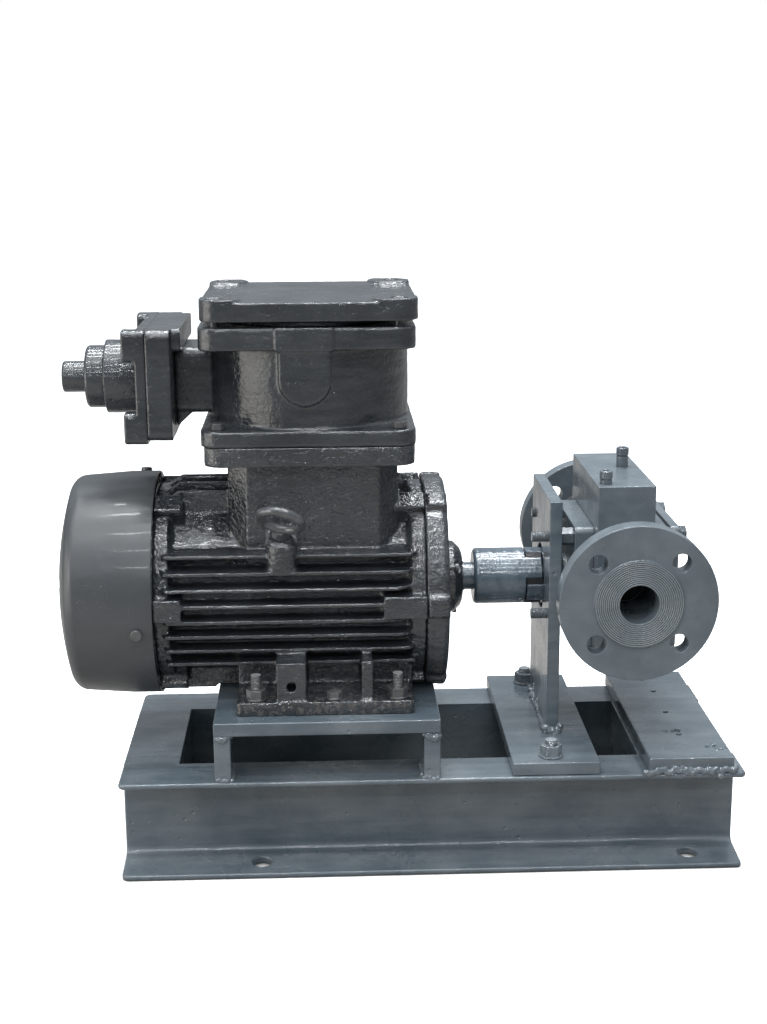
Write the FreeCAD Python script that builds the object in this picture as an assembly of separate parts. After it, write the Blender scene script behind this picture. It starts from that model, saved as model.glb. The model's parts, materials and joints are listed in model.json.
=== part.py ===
import FreeCAD, Part
import math
import os

# Diesel transfer pump set: a flameproof electric motor drives a small external gear pump
# through a jaw coupling, all on a welded base of steel channel.
# Frame: origin on the floor at the centre of the base, +X to the pump end, +Z up.

os.makedirs("parts", exist_ok=True)
Vector = FreeCAD.Vector
along_x = Vector(1, 0, 0)
along_y = Vector(0, 1, 0)
along_z = Vector(0, 0, 1)

# Clearances and fits
running_gap = 0.05
bolt_gap = 0.5
side_gap = 0.04
seat_depth = 8.0

# Base frame
base_length = 604.0
base_width = 250.0
channel_height = 100.0
flange_width = 50.0
web_thickness = 5.0
flange_tip_thickness = 5.5
flange_root_thickness = 9.5
flange_root_radius = 7.0
flange_corner_left = 8.0
flange_corner_right = 5.0
cross_flange_width = 55.0
right_member_inset = 96.0
anchor_centre_x = 43.0
anchor_spacing_x = 420.0
anchor_spacing_y = 204.0
anchor_hole_radius = 9.0
end_plate_inset = 11.5
end_plate_width = 82.5
end_plate_front = -122.0
end_plate_rear = 125.0
end_plate_thickness = 15.0
end_plate_hole_radius = 2.5

# Motor mounting plate on four short legs
plate_left = -209.5
plate_length = 216.0
plate_front_edge = 28.5
plate_rear_edge = 14.5
plate_thickness = 13.5
leg_height = 46.5
leg_thickness = 16.0
leg_depth = 35.0
leg_inset = 1.5

# Drive line
line_y = 20.0
shaft_height = 100.0

# Motor frame and feet
foot_spacing_x = 136.0
foot_spacing_y = 232.0
foot_centre_x = -101.0
foot_bolt_radius = 5.0
foot_length = 171.0
foot_left = -188.0
foot_thickness = 13.5
foot_overhang = 11.0
foot_inner_reach = 60.0
foot_web_thickness = 12.0
plate_clearance = 1.5
foot_web_top = 52.0
foot_block_reach = 48.5
foot_block_width = 29.0
foot_rib_reach = 33.0
foot_rib_width = 11.0
foot_hole_rise = 28.0
foot_hole_radius = 4.5
frame_left = -266.0
frame_right = -3.5
frame_radius = 88.0
frame_bore = 80.0
frame_rim_radius = 100.0
frame_rim_length = 14.0
shield_seat_radius = 84.0
fin_tip_radius = 108.0
fin_count = 8
fin_pitch = 15.45
fin_top_offset = 49.3
fin_tip_thickness = 4.0
fin_root_thickness = 7.0
fin_left = -256.0
fin_right = -12.0
fin_end_round = 30.0
top_fin_count = 5
top_fin_pitch = 18.0
lug_count = 6
lug_width = 22.0
lug_radius = 109.0
lug_inner_radius = 84.0
lug_length_left = 27.0
lug_length_right = 42.0
shield_bolt_radius = 4.0
shield_bolt_circle = 98.0
shield_bolt_sink = 6.5
shield_bolt_head = 6.0
shield_bolt_head_radius = 6.0

# Motor end shields, bearings and rotating parts
shield_thickness = 22.0
shield_radius = 105.0
fan_shield_thickness = 16.0
bearing_bore = 15.0
bearing_outside = 31.0
bearing_width = 16.0
ball_radius = 4.6
ball_count = 8
drive_bearing_left = -2.0
fan_bearing_left = -278.0
cap_radius = 36.5
cap_length = 19.0
shaft_end_radius = 14.0
shaft_end_x = 100.0
shaft_step_x = 40.0
core_left = -200.0
core_length = 125.0
core_radius = 49.0
air_gap = 0.4
winding_overhang = 30.0
rotor_shaft_radius = 19.0
fan_seat_radius = 12.0
fan_shaft_end_x = -327.0
fan_radius = 94.0
fan_hub_radius = 22.0
fan_blade_count = 8
fan_blade_thickness = 4.0
fan_blade_width = 30.0
fan_disc_drop = 26.0
cowl_radius = 112.0
cowl_end_radius = 108.8
cowl_rim_length = 28.0
cowl_straight_end_x = -339.0
cowl_tip_x = -366.0
cowl_corner_radius = 14.0
cowl_sheet = 2.0
cowl_slot_count = 12
cowl_slot_width = 8.0
cowl_slot_inner = 24.0
cowl_slot_outer = 72.0
cowl_screw_inset = 16.0
cowl_screw_head_radius = 5.5
cowl_screw_head_height = 4.0
cowl_screw_radius = 3.0
cowl_screw_first_angle = -11.0

# Terminal box on its neck
box_x = -115.0
box_side = 203.0
box_corner_radius = 18.0
neck_left = -194.0
neck_right = -30.0
neck_half_width = 78.0
neck_chamfer = 19.0
neck_flange_bottom = 137.5
neck_flange_thickness = 18.5
body_flange_thickness = 15.5
drum_height = 75.5
drum_radius = 98.0
drum_bore = 80.0
top_flange_thickness = 21.0
lid_gap = 5.5
lid_thickness = 17.5
lid_pad_height = 3.0
lid_pad_radius = 24.0
box_bolt_inset = 16.0
box_bolt_radius = 4.0
front_boss_left = -142.0
front_boss_width = 49.0
front_boss_drop = 52.0
cable_passage_front = -52.0
cable_passage_rear = 8.0
cable_passage_half_length = 30.0

# Cable entry on the left of the terminal box
entry_height = 210.0
entry_neck_half_width = 35.0
entry_neck_half_height = 32.0
entry_box_right = -243.0
entry_shoulder_right = -234.0
entry_box_thickness = 23.5
entry_cover_thickness = 10.0
entry_half_width = 81.0
entry_half_height = 54.0
entry_lug_length = 12.0
entry_lug_width = 24.0
entry_lug_height = 30.0
entry_gusset_length = 19.0
entry_drum_radius = 36.0
entry_drum_length = 36.0
entry_bore_radius = 20.0
gland_radius = 30.5
gland_length = 19.0
tube_radius = 15.2
tube_length = 23.5
tube_bore_radius = 11.0
entry_bolt_radius = 4.0

# Lifting eye bolt on the front shoulder of the motor
eye_x = -142.5
eye_lean = 52.0
eye_turn = 12.0
eye_seat_y = -66.0
eye_seat_rise = 70.0
eye_boss_y = -69.0
eye_boss_radius = 15.5
eye_boss_bottom = 38.0
eye_boss_top = 75.0
eye_collar_radius = 9.5
eye_ring_radius = 20.0
eye_wire_radius = 4.7
eye_ring_rise = 30.0
eye_shank_radius = 6.0
eye_thread_depth = 14.0

# Jaw coupling
coupling_radius = 28.5
motor_hub_left = 48.7
motor_hub_length = 52.3
jaw_length = 16.5
jaw_gap = 1.0
jaw_inner_radius = 12.0
spider_arms = 6
spider_arm_thickness = 6.8
spider_turn = 2.0
pump_hub_length = 21.0

# Pump bracket
bracket_base_left = 76.0
bracket_base_length = 84.5
bracket_front_edge = 18.5
bracket_rear_edge = 24.0
bracket_base_thickness = 13.0
bracket_plate_left = 118.5
bracket_plate_thickness = 12.0
bracket_plate_width = 130.0
bracket_plate_top = 351.5
bracket_hole_radius = 33.0
bracket_bolt_x = 115.0
bracket_bolt_spacing = 208.0
bracket_bolt_radius = 6.0

# Gear pump
tie_nut_length = 13.0
front_cover_thickness = 19.0
casing_thickness = 56.0
casing_half_width = 80.0
casing_bottom_drop = 61.0
casing_top_rise = 109.5
cover_half_width = 62.5
cover_half_height = 62.5
cover_rise = 2.0
rear_cover_thickness = 16.0
gasket_thickness = 3.0
gasket_inset = 4.0
end_cover_thickness = 9.0
cover_corner_radius = 6.0
gear_module = 2.75
gear_teeth = 10
gear_pressure_angle = 25.0
gear_addendum = 2.2
gear_dedendum = 2.85
gear_backlash = 0.2
journal_radius = 8.0
bush_radius = 11.0
front_bush_length = 12.0
seal_radius = 13.0
seal_length = 7.0
retainer_radius = 22.0
retainer_thickness = 3.5
tie_bolt_spacing_y = 100.0
tie_bolt_spacing_z = 79.0
tie_bolt_radius = 5.0
tie_bolt_end_left = 16.0
rear_tie_bolt_end_left = 3.0
port_half_span = 155.0
port_bore_radius = 18.5
port_pipe_radius = 24.15
port_flange_radius = 75.0
port_flange_thickness = 20.0
port_face_radius = 42.5
port_face_height = 2.0
port_bolt_circle = 110.0
port_bolt_hole_radius = 9.0
port_bolt_count = 4
port_entry_bore_radius = 18.0
relief_x = 202.0
relief_y = 32.5
relief_bore_radius = 6.0
relief_seat_rise = 57.0
relief_drill_radius = 4.0
relief_poppet_length = 12.0
relief_screw_depth = 17.0
relief_screw_height = 20.0
return_x = 172.0
return_y = -44.5
return_screw_height = 13.0
return_screw_depth = 15.0
cross_drill_radius = 3.0
cross_drill_rise = 70.0

# Positions worked out from the sizes above
half_width = base_width / 2
web_y = half_width - flange_width
left_member_x = cross_flange_width - base_length / 2
right_member_x = base_length / 2 - right_member_inset
end_plate_right = base_length / 2 - end_plate_inset
end_plate_left = end_plate_right - end_plate_width
plate_top = channel_height + leg_height + plate_thickness
line_z = plate_top + shaft_height
cowl_screw_x = frame_left - cowl_screw_inset
plate_right = plate_left + plate_length
plate_front = line_y - foot_spacing_y / 2 - plate_front_edge
plate_rear = line_y + foot_spacing_y / 2 + plate_rear_edge
casing_left = bracket_plate_left + bracket_plate_thickness + tie_nut_length + front_cover_thickness
casing_right = casing_left + casing_thickness
front_cover_left = casing_left - front_cover_thickness
pitch_radius = gear_module * gear_teeth / 2
gear_spacing = 2 * pitch_radius
idler_z = line_z + gear_spacing
port_x = casing_left + casing_thickness / 2
port_z = line_z + gear_spacing / 2
port_rear_y = line_y + port_half_span
port_front_y = line_y - port_half_span
casing_top = line_z + casing_top_rise
casing_bottom = line_z - casing_bottom_drop
bracket_plate_right = bracket_plate_left + bracket_plate_thickness
drum_z = line_z + neck_flange_bottom + neck_flange_thickness
top_flange_z = drum_z + body_flange_thickness + drum_height
lid_z = top_flange_z + top_flange_thickness + lid_gap
entry_z = line_z + entry_height


def block(x0, x1, y0, y1, z0, z1):
    return Part.makeBox(x1 - x0, y1 - y0, z1 - z0, Vector(x0, y0, z0))


def rod(x0, x1, radius, y, z):
    return Part.makeCylinder(radius, x1 - x0, Vector(x0, y, z), along_x)


def spool(y0, y1, radius, x, z):
    return Part.makeCylinder(radius, y1 - y0, Vector(x, y0, z), along_y)


def post(z0, z1, radius, x, y):
    return Part.makeCylinder(radius, z1 - z0, Vector(x, y, z0), along_z)


def outline(points):
    return Part.makePolygon(points + [points[0]])


def turned(profile, z=None):
    """A piece turned about the drive line from (x, radius) points."""
    height = line_z if z is None else z
    wire = outline([Vector(x, line_y, height + radius) for x, radius in profile])
    return Part.Face(wire).revolve(Vector(0, line_y, height), along_x, 360)


def turned_upright(profile, x, y):
    """A piece turned about an upright line from (radius, z) points."""
    wire = outline([Vector(x + radius, y, z) for radius, z in profile])
    return Part.Face(wire).revolve(Vector(x, y, 0), along_z, 360)


def bar_along_x(profile, x0, x1):
    """A straight bar whose section is given by (y, z) points."""
    wire = outline([Vector(x0, y, z) for y, z in profile])
    return Part.Face(wire).extrude(Vector(x1 - x0, 0, 0))


def bar_along_y(profile, y0, y1):
    """A straight bar whose section is given by (x, z) points."""
    wire = outline([Vector(x, y0, z) for x, z in profile])
    return Part.Face(wire).extrude(Vector(0, y1 - y0, 0))


def slab(profile, z0, z1):
    """A flat plate whose plan is given by (x, y) points."""
    wire = outline([Vector(x, y, z0) for x, y in profile])
    return Part.Face(wire).extrude(Vector(0, 0, z1 - z0))


def rounded(shape, radius, direction, chosen=None):
    """Round the straight edges that run along one direction."""
    edges = []
    for edge in shape.Edges:
        if isinstance(edge.Curve, Part.Line):
            if abs(edge.Curve.Direction.dot(direction)) > 0.999:
                if chosen is None or chosen(edge.CenterOfMass):
                    edges.append(edge)
    return shape.makeFillet(radius, edges)


def rounded_slab(x0, x1, y0, y1, z0, z1, radius):
    return rounded(block(x0, x1, y0, y1, z0, z1), radius, along_z)


def hexagon_upright(across_flats, z0, z1, x, y):
    radius = across_flats / math.sqrt(3)
    corners = []
    for i in range(6):
        angle = math.radians(60 * i)
        corners.append((x + radius * math.cos(angle), y + radius * math.sin(angle)))
    return slab(corners, z0, z1)


def hexagon_along_x(across_flats, x0, x1, y, z):
    radius = across_flats / math.sqrt(3)
    corners = []
    for i in range(6):
        angle = math.radians(60 * i + 30)
        corners.append((y + radius * math.cos(angle), z + radius * math.sin(angle)))
    return bar_along_x(corners, x0, x1)


def on_circle(radius, degrees):
    """A place round the drive line, measured from the front side upward."""
    angle = math.radians(degrees)
    return line_y - radius * math.cos(angle), line_z + radius * math.sin(angle)


def turned_about_line(shape, degrees):
    """Turn a piece about the drive line, front side upward."""
    copy = shape.copy()
    copy.rotate(Vector(0, line_y, line_z), along_x, -degrees)
    return copy


def across_line(shape):
    """The mirror copy on the rear side of the drive line."""
    return shape.mirror(Vector(0, line_y, 0), along_y)


def joined(shapes):
    result = shapes[0]
    if len(shapes) > 1:
        result = shapes[0].fuse(shapes[1:])
    return result.removeSplitter()


def save(name, shape):
    shapes = shape if isinstance(shape, list) else [shape]
    solids = []
    for piece in shapes:
        solids.extend(piece.Solids)
    result = solids[0] if len(solids) == 1 else Part.makeCompound(solids)
    result.exportStep("parts/" + name + ".step")


# Base frame: steel channels with their flanges outward, welded into a rectangle


def channel(length, width):
    """Channel along +X with its back on the plane y = 0 and its flanges towards -Y."""
    tip = channel_height - flange_tip_thickness
    root = channel_height - flange_root_thickness
    section = [
        (0, 0),
        (-width, 0),
        (-width, flange_tip_thickness),
        (-web_thickness, flange_root_thickness),
        (-web_thickness, root),
        (-width, tip),
        (-width, channel_height),
        (0, channel_height),
    ]
    bar = bar_along_x(section, 0, length)
    return rounded(
        bar,
        flange_root_radius,
        along_x,
        lambda at: abs(at.y + web_thickness) < 0.01,
    )


anchor_x = [anchor_centre_x - anchor_spacing_x / 2, anchor_centre_x + anchor_spacing_x / 2]


def long_channel():
    bar = channel(base_length, flange_width)
    bar.translate(Vector(-base_length / 2, -web_y, 0))
    cuts = []
    for x in anchor_x:
        cuts.append(post(-1, channel_height / 2, anchor_hole_radius, x, -anchor_spacing_y / 2))
    bolt_y = -bracket_bolt_spacing / 2
    cuts.append(post(channel_height / 2, channel_height + 1, bracket_bolt_radius, bracket_bolt_x, bolt_y))
    bar = bar.cut(cuts)
    bar = rounded(bar, flange_corner_left, along_z, lambda at: at.y < 1 - half_width and at.x < 0)
    return rounded(bar, flange_corner_right, along_z, lambda at: at.y < 1 - half_width and at.x > 0)


def cross_channel(x, turn):
    bar = channel(2 * web_y, cross_flange_width)
    bar.rotate(Vector(0, 0, 0), along_z, turn)
    start = web_y if turn < 0 else -web_y
    bar.translate(Vector(x, start, 0))
    return bar


front_channel = long_channel()
rear_channel = front_channel.mirror(Vector(0, 0, 0), along_y)
save("front_channel", front_channel)
save("rear_channel", rear_channel)
save("left_end_channel", cross_channel(left_member_x, -90))
save("right_end_channel", cross_channel(right_member_x, 90))

end_plate_top = channel_height + end_plate_thickness
end_plate = block(
    end_plate_left, end_plate_right, end_plate_front, end_plate_rear, channel_height, end_plate_top
)
end_plate_centre = (end_plate_front + end_plate_rear) / 2
end_plate_quarter = (end_plate_rear - end_plate_front) / 4
end_plate_holes = []
for step in (-1, 0, 1):
    at_y = end_plate_centre + step * end_plate_quarter
    at_x = (end_plate_left + end_plate_right) / 2
    end_plate_holes.append(post(channel_height - 1, end_plate_top + 1, end_plate_hole_radius, at_x, at_y))
save("right_end_plate", end_plate.cut(end_plate_holes))

# Motor mounting plate and its legs
foot_bolt_x = [foot_centre_x - foot_spacing_x / 2, foot_centre_x + foot_spacing_x / 2]
foot_bolt_y = [line_y - foot_spacing_y / 2, line_y + foot_spacing_y / 2]
foot_bolts_at = [(x, y) for x in foot_bolt_x for y in foot_bolt_y]
plate_bottom = plate_top - plate_thickness
motor_plate = block(plate_left, plate_right, plate_front, plate_rear, plate_bottom, plate_top)
foot_hole = foot_bolt_radius + bolt_gap
holes = [post(plate_bottom - 1, plate_top + 1, foot_hole, x, y) for x, y in foot_bolts_at]
save("motor_plate", motor_plate.cut(holes))

leg_outer = -plate_front - leg_inset
legs = []
for leg_x in (plate_left, plate_right - leg_thickness):
    for side in (-1, 1):
        near = side * leg_outer
        far = side * (leg_outer - leg_depth)
        leg = block(
            leg_x, leg_x + leg_thickness, min(near, far), max(near, far), channel_height, plate_bottom
        )
        legs.append(leg)
save("motor_legs", legs)

# Motor frame: ribbed cast iron barrel with feet, a neck for the terminal box and an eye bolt boss
cowl_rim_x = frame_left - 0.3
frame_core = turned(
    [
        (frame_left, shield_seat_radius),
        (frame_left, frame_rim_radius),
        (frame_left + frame_rim_length, frame_rim_radius),
        (frame_left + frame_rim_length + 4, frame_radius),
        (frame_right - frame_rim_length - 4, frame_radius),
        (frame_right - frame_rim_length, frame_rim_radius),
        (frame_right, frame_rim_radius),
        (frame_right, shield_seat_radius),
        (frame_right - seat_depth, shield_seat_radius),
        (frame_right - seat_depth, frame_bore),
        (frame_left + seat_depth, frame_bore),
        (frame_left + seat_depth, shield_seat_radius),
    ]
)


def side_fin(offset):
    """One flat cooling fin across the barrel, thinner at its two tips."""
    reach = math.sqrt(fin_tip_radius ** 2 - offset ** 2)
    z = line_z + offset
    tip = fin_tip_thickness / 2
    root = fin_root_thickness / 2
    section = [
        (line_y - reach, z - tip),
        (line_y, z - root),
        (line_y + reach, z - tip),
        (line_y + reach, z + tip),
        (line_y, z + root),
        (line_y - reach, z + tip),
    ]
    return bar_along_x(section, fin_left, fin_right)


fins = []
for i in range(fin_count):
    fins.append(side_fin(fin_top_offset - fin_pitch * i))
fin_plan = block(
    fin_left,
    fin_right,
    line_y - fin_tip_radius,
    line_y + fin_tip_radius,
    line_z - fin_tip_radius,
    line_z + fin_tip_radius,
)
fin_plan = rounded(fin_plan, fin_end_round, along_z, lambda at: at.x > fin_right - 1)
fin_plan = rounded(fin_plan, 6, along_z, lambda at: at.x < fin_left + 1)
fins = [fin.common(fin_plan) for fin in fins]

for i in range(top_fin_count):
    fin_y = (i - (top_fin_count - 1) / 2) * top_fin_pitch
    rise = math.sqrt(fin_tip_radius ** 2 - fin_y ** 2)
    half = fin_tip_thickness / 2
    for up in (1, -1):
        tip_z = line_z + up * rise
        root_z = line_z + up * (frame_bore - 5)
        profile = [
            (fin_left - 6, root_z),
            (fin_left, tip_z - up * 8),
            (fin_left + 12, tip_z),
            (neck_left + 10, tip_z),
            (neck_left + 10, root_z),
        ]
        fins.append(bar_along_y(profile, line_y + fin_y - half, line_y + fin_y + half))


def frame_lug(x0, x1, reach):
    """A square bolt lug on the front side of the drive line."""
    return block(
        x0,
        x1,
        line_y - reach,
        line_y - lug_inner_radius,
        line_z - lug_width / 2,
        line_z + lug_width / 2,
    )


lug_angles = [360 / lug_count * i for i in range(lug_count)]
lugs = []
for angle in lug_angles:
    lugs.append(turned_about_line(frame_lug(frame_left, frame_left + lug_length_left, lug_radius), angle))
    lugs.append(turned_about_line(frame_lug(frame_right - lug_length_right, frame_right, lug_radius), angle))

foot_right = foot_left + foot_length
foot_top = plate_top + foot_thickness
foot_outer = line_y - foot_spacing_y / 2 - foot_overhang
foot_inner = line_y - foot_inner_reach
web_top = plate_top + foot_web_top
foot_web_outer = foot_inner - foot_web_thickness
foot_block_left = foot_centre_x - foot_block_reach
foot_block_right = foot_block_left + foot_block_width
foot_rib_left = foot_centre_x + foot_rib_reach
foot_rib_right = foot_rib_left + foot_rib_width
foot_pieces = [
    block(foot_left, foot_right, foot_outer, foot_inner, plate_top, foot_top),
    block(foot_left, foot_right, foot_web_outer, foot_inner, plate_top, web_top),
    block(foot_block_left, foot_block_right, foot_outer + 2, foot_inner, plate_top, web_top),
    block(foot_rib_left, foot_rib_right, foot_outer + 4, foot_inner, plate_top, web_top),
]
foot = rounded(joined(foot_pieces), 5, along_z, lambda at: at.y < foot_outer + 1)
foot_hole_x = (foot_block_left + foot_block_right) / 2
foot_hole_z = plate_top + foot_hole_rise
lifting_hole = spool(foot_outer, foot_outer + 18, foot_hole_radius, foot_hole_x, foot_hole_z)
earth_x = foot_centre_x + 7
earth_y = line_y - foot_spacing_y / 2
earth_radius = 4.0
earth_depth = 9.0
foot = foot.cut([lifting_hole, post(foot_top - earth_depth, foot_top + 1, earth_radius, earth_x, earth_y)])

neck_top = line_z + neck_flange_bottom
neck_front = line_y - neck_half_width
neck_rear = line_y + neck_half_width
neck_plan = [
    (neck_left, neck_front + neck_chamfer),
    (neck_left + neck_chamfer, neck_front),
    (neck_right - neck_chamfer, neck_front),
    (neck_right, neck_front + neck_chamfer),
    (neck_right, neck_rear - neck_chamfer),
    (neck_right - neck_chamfer, neck_rear),
    (neck_left + neck_chamfer, neck_rear),
    (neck_left, neck_rear - neck_chamfer),
]
neck = slab(neck_plan, line_z, neck_top)
box_half = box_side / 2
neck_flange = rounded_slab(
    box_x - box_half + 2.5,
    box_x + box_half - 1,
    line_y - box_half,
    line_y + box_half,
    neck_top,
    drum_z,
    box_corner_radius,
)
cable_way = block(
    box_x - cable_passage_half_length,
    box_x + cable_passage_half_length,
    line_y + cable_passage_front,
    line_y + cable_passage_rear,
    line_z,
    drum_z + 1,
)

eye_direction = Vector(0, -math.sin(math.radians(eye_lean)), math.cos(math.radians(eye_lean)))
eye_seat = Vector(eye_x, eye_seat_y, line_z + eye_seat_rise)
eye_boss = post(line_z + eye_boss_bottom, line_z + eye_boss_top, eye_boss_radius, eye_x, eye_boss_y)
plate_room = block(
    plate_left - 3,
    plate_right + 3,
    line_y - fin_tip_radius,
    line_y + fin_tip_radius,
    plate_bottom,
    plate_top + plate_clearance,
)
casting = joined([frame_core, neck, neck_flange, eye_boss] + fins + lugs).cut(plate_room)
motor_frame = joined([casting, foot, across_line(foot)])
barrel_room = rod(frame_left - 1, frame_right + 1, frame_bore, line_y, line_z)
shield_room_left = rod(frame_left - 1, frame_left + seat_depth, shield_seat_radius, line_y, line_z)
shield_room_right = rod(frame_right - seat_depth, frame_right + 1, shield_seat_radius, line_y, line_z)
frame_cuts = [barrel_room, shield_room_left, shield_room_right, cable_way]
for x, y in foot_bolts_at:
    frame_cuts.append(post(plate_top - 1, foot_top + 1, foot_hole, x, y))
eye_thread_start = eye_seat - eye_direction * eye_thread_depth
eye_thread = Part.makeCylinder(eye_shank_radius, eye_thread_depth + 1, eye_thread_start, eye_direction)
eye_spot_face = Part.makeCylinder(eye_boss_radius + 2.5, eye_boss_radius * 2, eye_seat, eye_direction)
neck_front_room = block(
    neck_left, neck_right, eye_boss_y - eye_boss_radius, neck_front, line_z, line_z + eye_boss_top + 1
)
frame_cuts.append(eye_thread)
frame_cuts.append(eye_spot_face.common(neck_front_room))
shield_thread_depth = 14
for angle in lug_angles:
    at_y, at_z = on_circle(shield_bolt_circle, angle)
    left_end = frame_left + shield_thread_depth
    right_end = frame_right - shield_thread_depth
    frame_cuts.append(rod(frame_left - 1, left_end, shield_bolt_radius, at_y, at_z))
    frame_cuts.append(rod(right_end, frame_right + 1, shield_bolt_radius, at_y, at_z))
box_bolts_at = []
for sign_x in (-1, 1):
    for sign_y in (-1, 1):
        reach = box_half - box_bolt_inset
        box_bolts_at.append((box_x + sign_x * reach, line_y + sign_y * reach))
box_thread_depth = 14
for x, y in box_bolts_at:
    frame_cuts.append(post(drum_z - box_thread_depth, drum_z + 1, box_bolt_radius, x, y))
motor_frame = motor_frame.cut(frame_cuts)
save("motor_frame", motor_frame)

# Stator: laminated core and the two winding heads
core_right = core_left + core_length
stator_inner = core_radius + air_gap
save("stator_core", rod(core_left, core_right, frame_bore, line_y, line_z).cut(
    rod(core_left - 1, core_right + 1, stator_inner, line_y, line_z)))
winding_inner = stator_inner + 4
winding_outer = frame_bore - 6


def winding_head(start, direction):
    near = start
    far = start + direction * winding_overhang
    bend = start + direction * (winding_overhang - 6)
    return turned(
        [
            (near, winding_inner),
            (near, winding_outer),
            (bend, winding_outer),
            (far, winding_outer - 6),
            (far, winding_inner + 5),
            (bend, winding_inner),
        ]
    )


save("stator_windings", [winding_head(core_left, -1), winding_head(core_right, 1)])

# End shields: cast covers that close the barrel and carry the bearings
shield_left = frame_right
shield_right = shield_left + shield_thickness
drive_bearing_right = drive_bearing_left + bearing_width
bearing_lip = bearing_outside - 5
drive_shield = turned(
    [
        (drive_bearing_left - 3, bearing_lip),
        (drive_bearing_left - 3, bearing_outside + 8),
        (shield_left + 8, bearing_outside + 14),
        (shield_left + 8, frame_bore - 4),
        (shield_left - seat_depth, frame_bore - 4),
        (shield_left - seat_depth, shield_seat_radius),
        (shield_left, shield_seat_radius),
        (shield_left, shield_radius),
        (shield_right - 5, shield_radius),
        (shield_right, shield_radius - 4),
        (shield_right, bearing_outside),
        (drive_bearing_left, bearing_outside),
        (drive_bearing_left, bearing_lip),
    ]
)
fan_shield_right = frame_left
fan_shield_left = fan_shield_right - fan_shield_thickness
fan_bearing_right = fan_bearing_left + bearing_width
fan_shield = turned(
    [
        (fan_bearing_right + 3, bearing_lip),
        (fan_bearing_right + 3, bearing_outside + 8),
        (fan_shield_right + seat_depth, frame_bore - 4),
        (fan_shield_right + seat_depth, shield_seat_radius),
        (fan_shield_right, shield_seat_radius),
        (fan_shield_right, shield_radius - 5),
        (fan_shield_left + 3, shield_radius - 5),
        (fan_shield_left, shield_radius - 8),
        (fan_shield_left, bearing_outside + 10),
        (fan_bearing_left - 4, bearing_outside + 6),
        (fan_bearing_left - 4, bearing_bore + 0.5),
        (fan_bearing_left, bearing_bore + 0.5),
        (fan_bearing_left, bearing_outside),
        (fan_bearing_right, bearing_outside),
        (fan_bearing_right, bearing_lip),
    ]
)
drive_lugs = []
for angle in lug_angles:
    lug = frame_lug(shield_left, shield_right, lug_radius + 1)
    lug = lug.makeChamfer(3, [edge for edge in lug.Edges if edge.BoundBox.YMax < line_y - lug_radius + 1])
    drive_lugs.append(turned_about_line(lug, angle))
screw_angles = [cowl_screw_first_angle + 120 * i for i in range(3)]
cowl_inner = cowl_radius - cowl_sheet
ear_left = cowl_screw_x - 8
fan_lugs = []
for angle in lug_angles:
    lug = frame_lug(fan_shield_left + 4, fan_shield_right, cowl_inner - 1)
    fan_lugs.append(turned_about_line(lug, angle))
for angle in screw_angles:
    ear = block(ear_left, fan_shield_right, line_y - cowl_inner, line_y - cowl_inner + 16, line_z - 9, line_z + 9)
    ear = ear.common(rod(ear_left, fan_shield_right, cowl_inner - running_gap, line_y, line_z))
    fan_lugs.append(turned_about_line(ear, angle))
bolt_clear = shield_bolt_radius + bolt_gap
bolt_seat = shield_right - shield_bolt_sink
drive_cuts = []
fan_cuts = []
for angle in lug_angles:
    at_y, at_z = on_circle(shield_bolt_circle, angle)
    drive_cuts.append(rod(shield_left - 1, shield_right + 1, bolt_clear, at_y, at_z))
    drive_cuts.append(rod(bolt_seat, shield_right + 1, shield_bolt_head_radius + 1.5, at_y, at_z))
    fan_cuts.append(rod(fan_shield_left - 1, fan_shield_right + 1, bolt_clear, at_y, at_z))
for angle in screw_angles:
    hole = spool(line_y - cowl_radius, line_y - cowl_inner + 15, cowl_screw_radius, cowl_screw_x, line_z)
    fan_cuts.append(turned_about_line(hole, angle))
cap_bolt_circle = bearing_outside + 3.5
cap_bolt_radius = 2.5
for i in range(3):
    at_y, at_z = on_circle(cap_bolt_circle, 30 + 120 * i)
    drive_cuts.append(rod(shield_right - 10, shield_right + 1, cap_bolt_radius, at_y, at_z))
drive_shield = joined([drive_shield] + drive_lugs).cut(drive_cuts + [plate_room])
fan_shield = joined([fan_shield] + fan_lugs).cut(fan_cuts)
save("drive_end_shield", drive_shield)
save("fan_end_shield", fan_shield)

cap_right = shield_right + cap_length
cap_bore = bearing_bore + 0.15
bearing_cap = turned(
    [
        (drive_bearing_right, bearing_lip),
        (drive_bearing_right, bearing_outside),
        (shield_right, bearing_outside),
        (shield_right, cap_radius),
        (cap_right - 9, cap_radius),
        (cap_right - 2, cap_radius - 7),
        (cap_right, cap_radius - 12),
        (cap_right, cap_bore),
        (cap_right - 10, cap_bore),
        (cap_right - 10, bearing_lip),
    ]
)
cap_cuts = []
cap_screws = []
for i in range(3):
    at_y, at_z = on_circle(cap_bolt_circle, 30 + 120 * i)
    cap_cuts.append(rod(shield_right - 1, cap_right, cap_bolt_radius, at_y, at_z))
    cap_cuts.append(rod(cap_right - 9, cap_right, 2 * cap_bolt_radius, at_y, at_z))
    screw = rod(shield_right - 9, cap_right - 9, cap_bolt_radius, at_y, at_z)
    head = rod(cap_right - 9, cap_right - 5, 2 * cap_bolt_radius - 0.5, at_y, at_z)
    cap_screws.append(joined([screw, head]))
save("drive_end_bearing_cap", bearing_cap.cut(cap_cuts))

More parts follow.
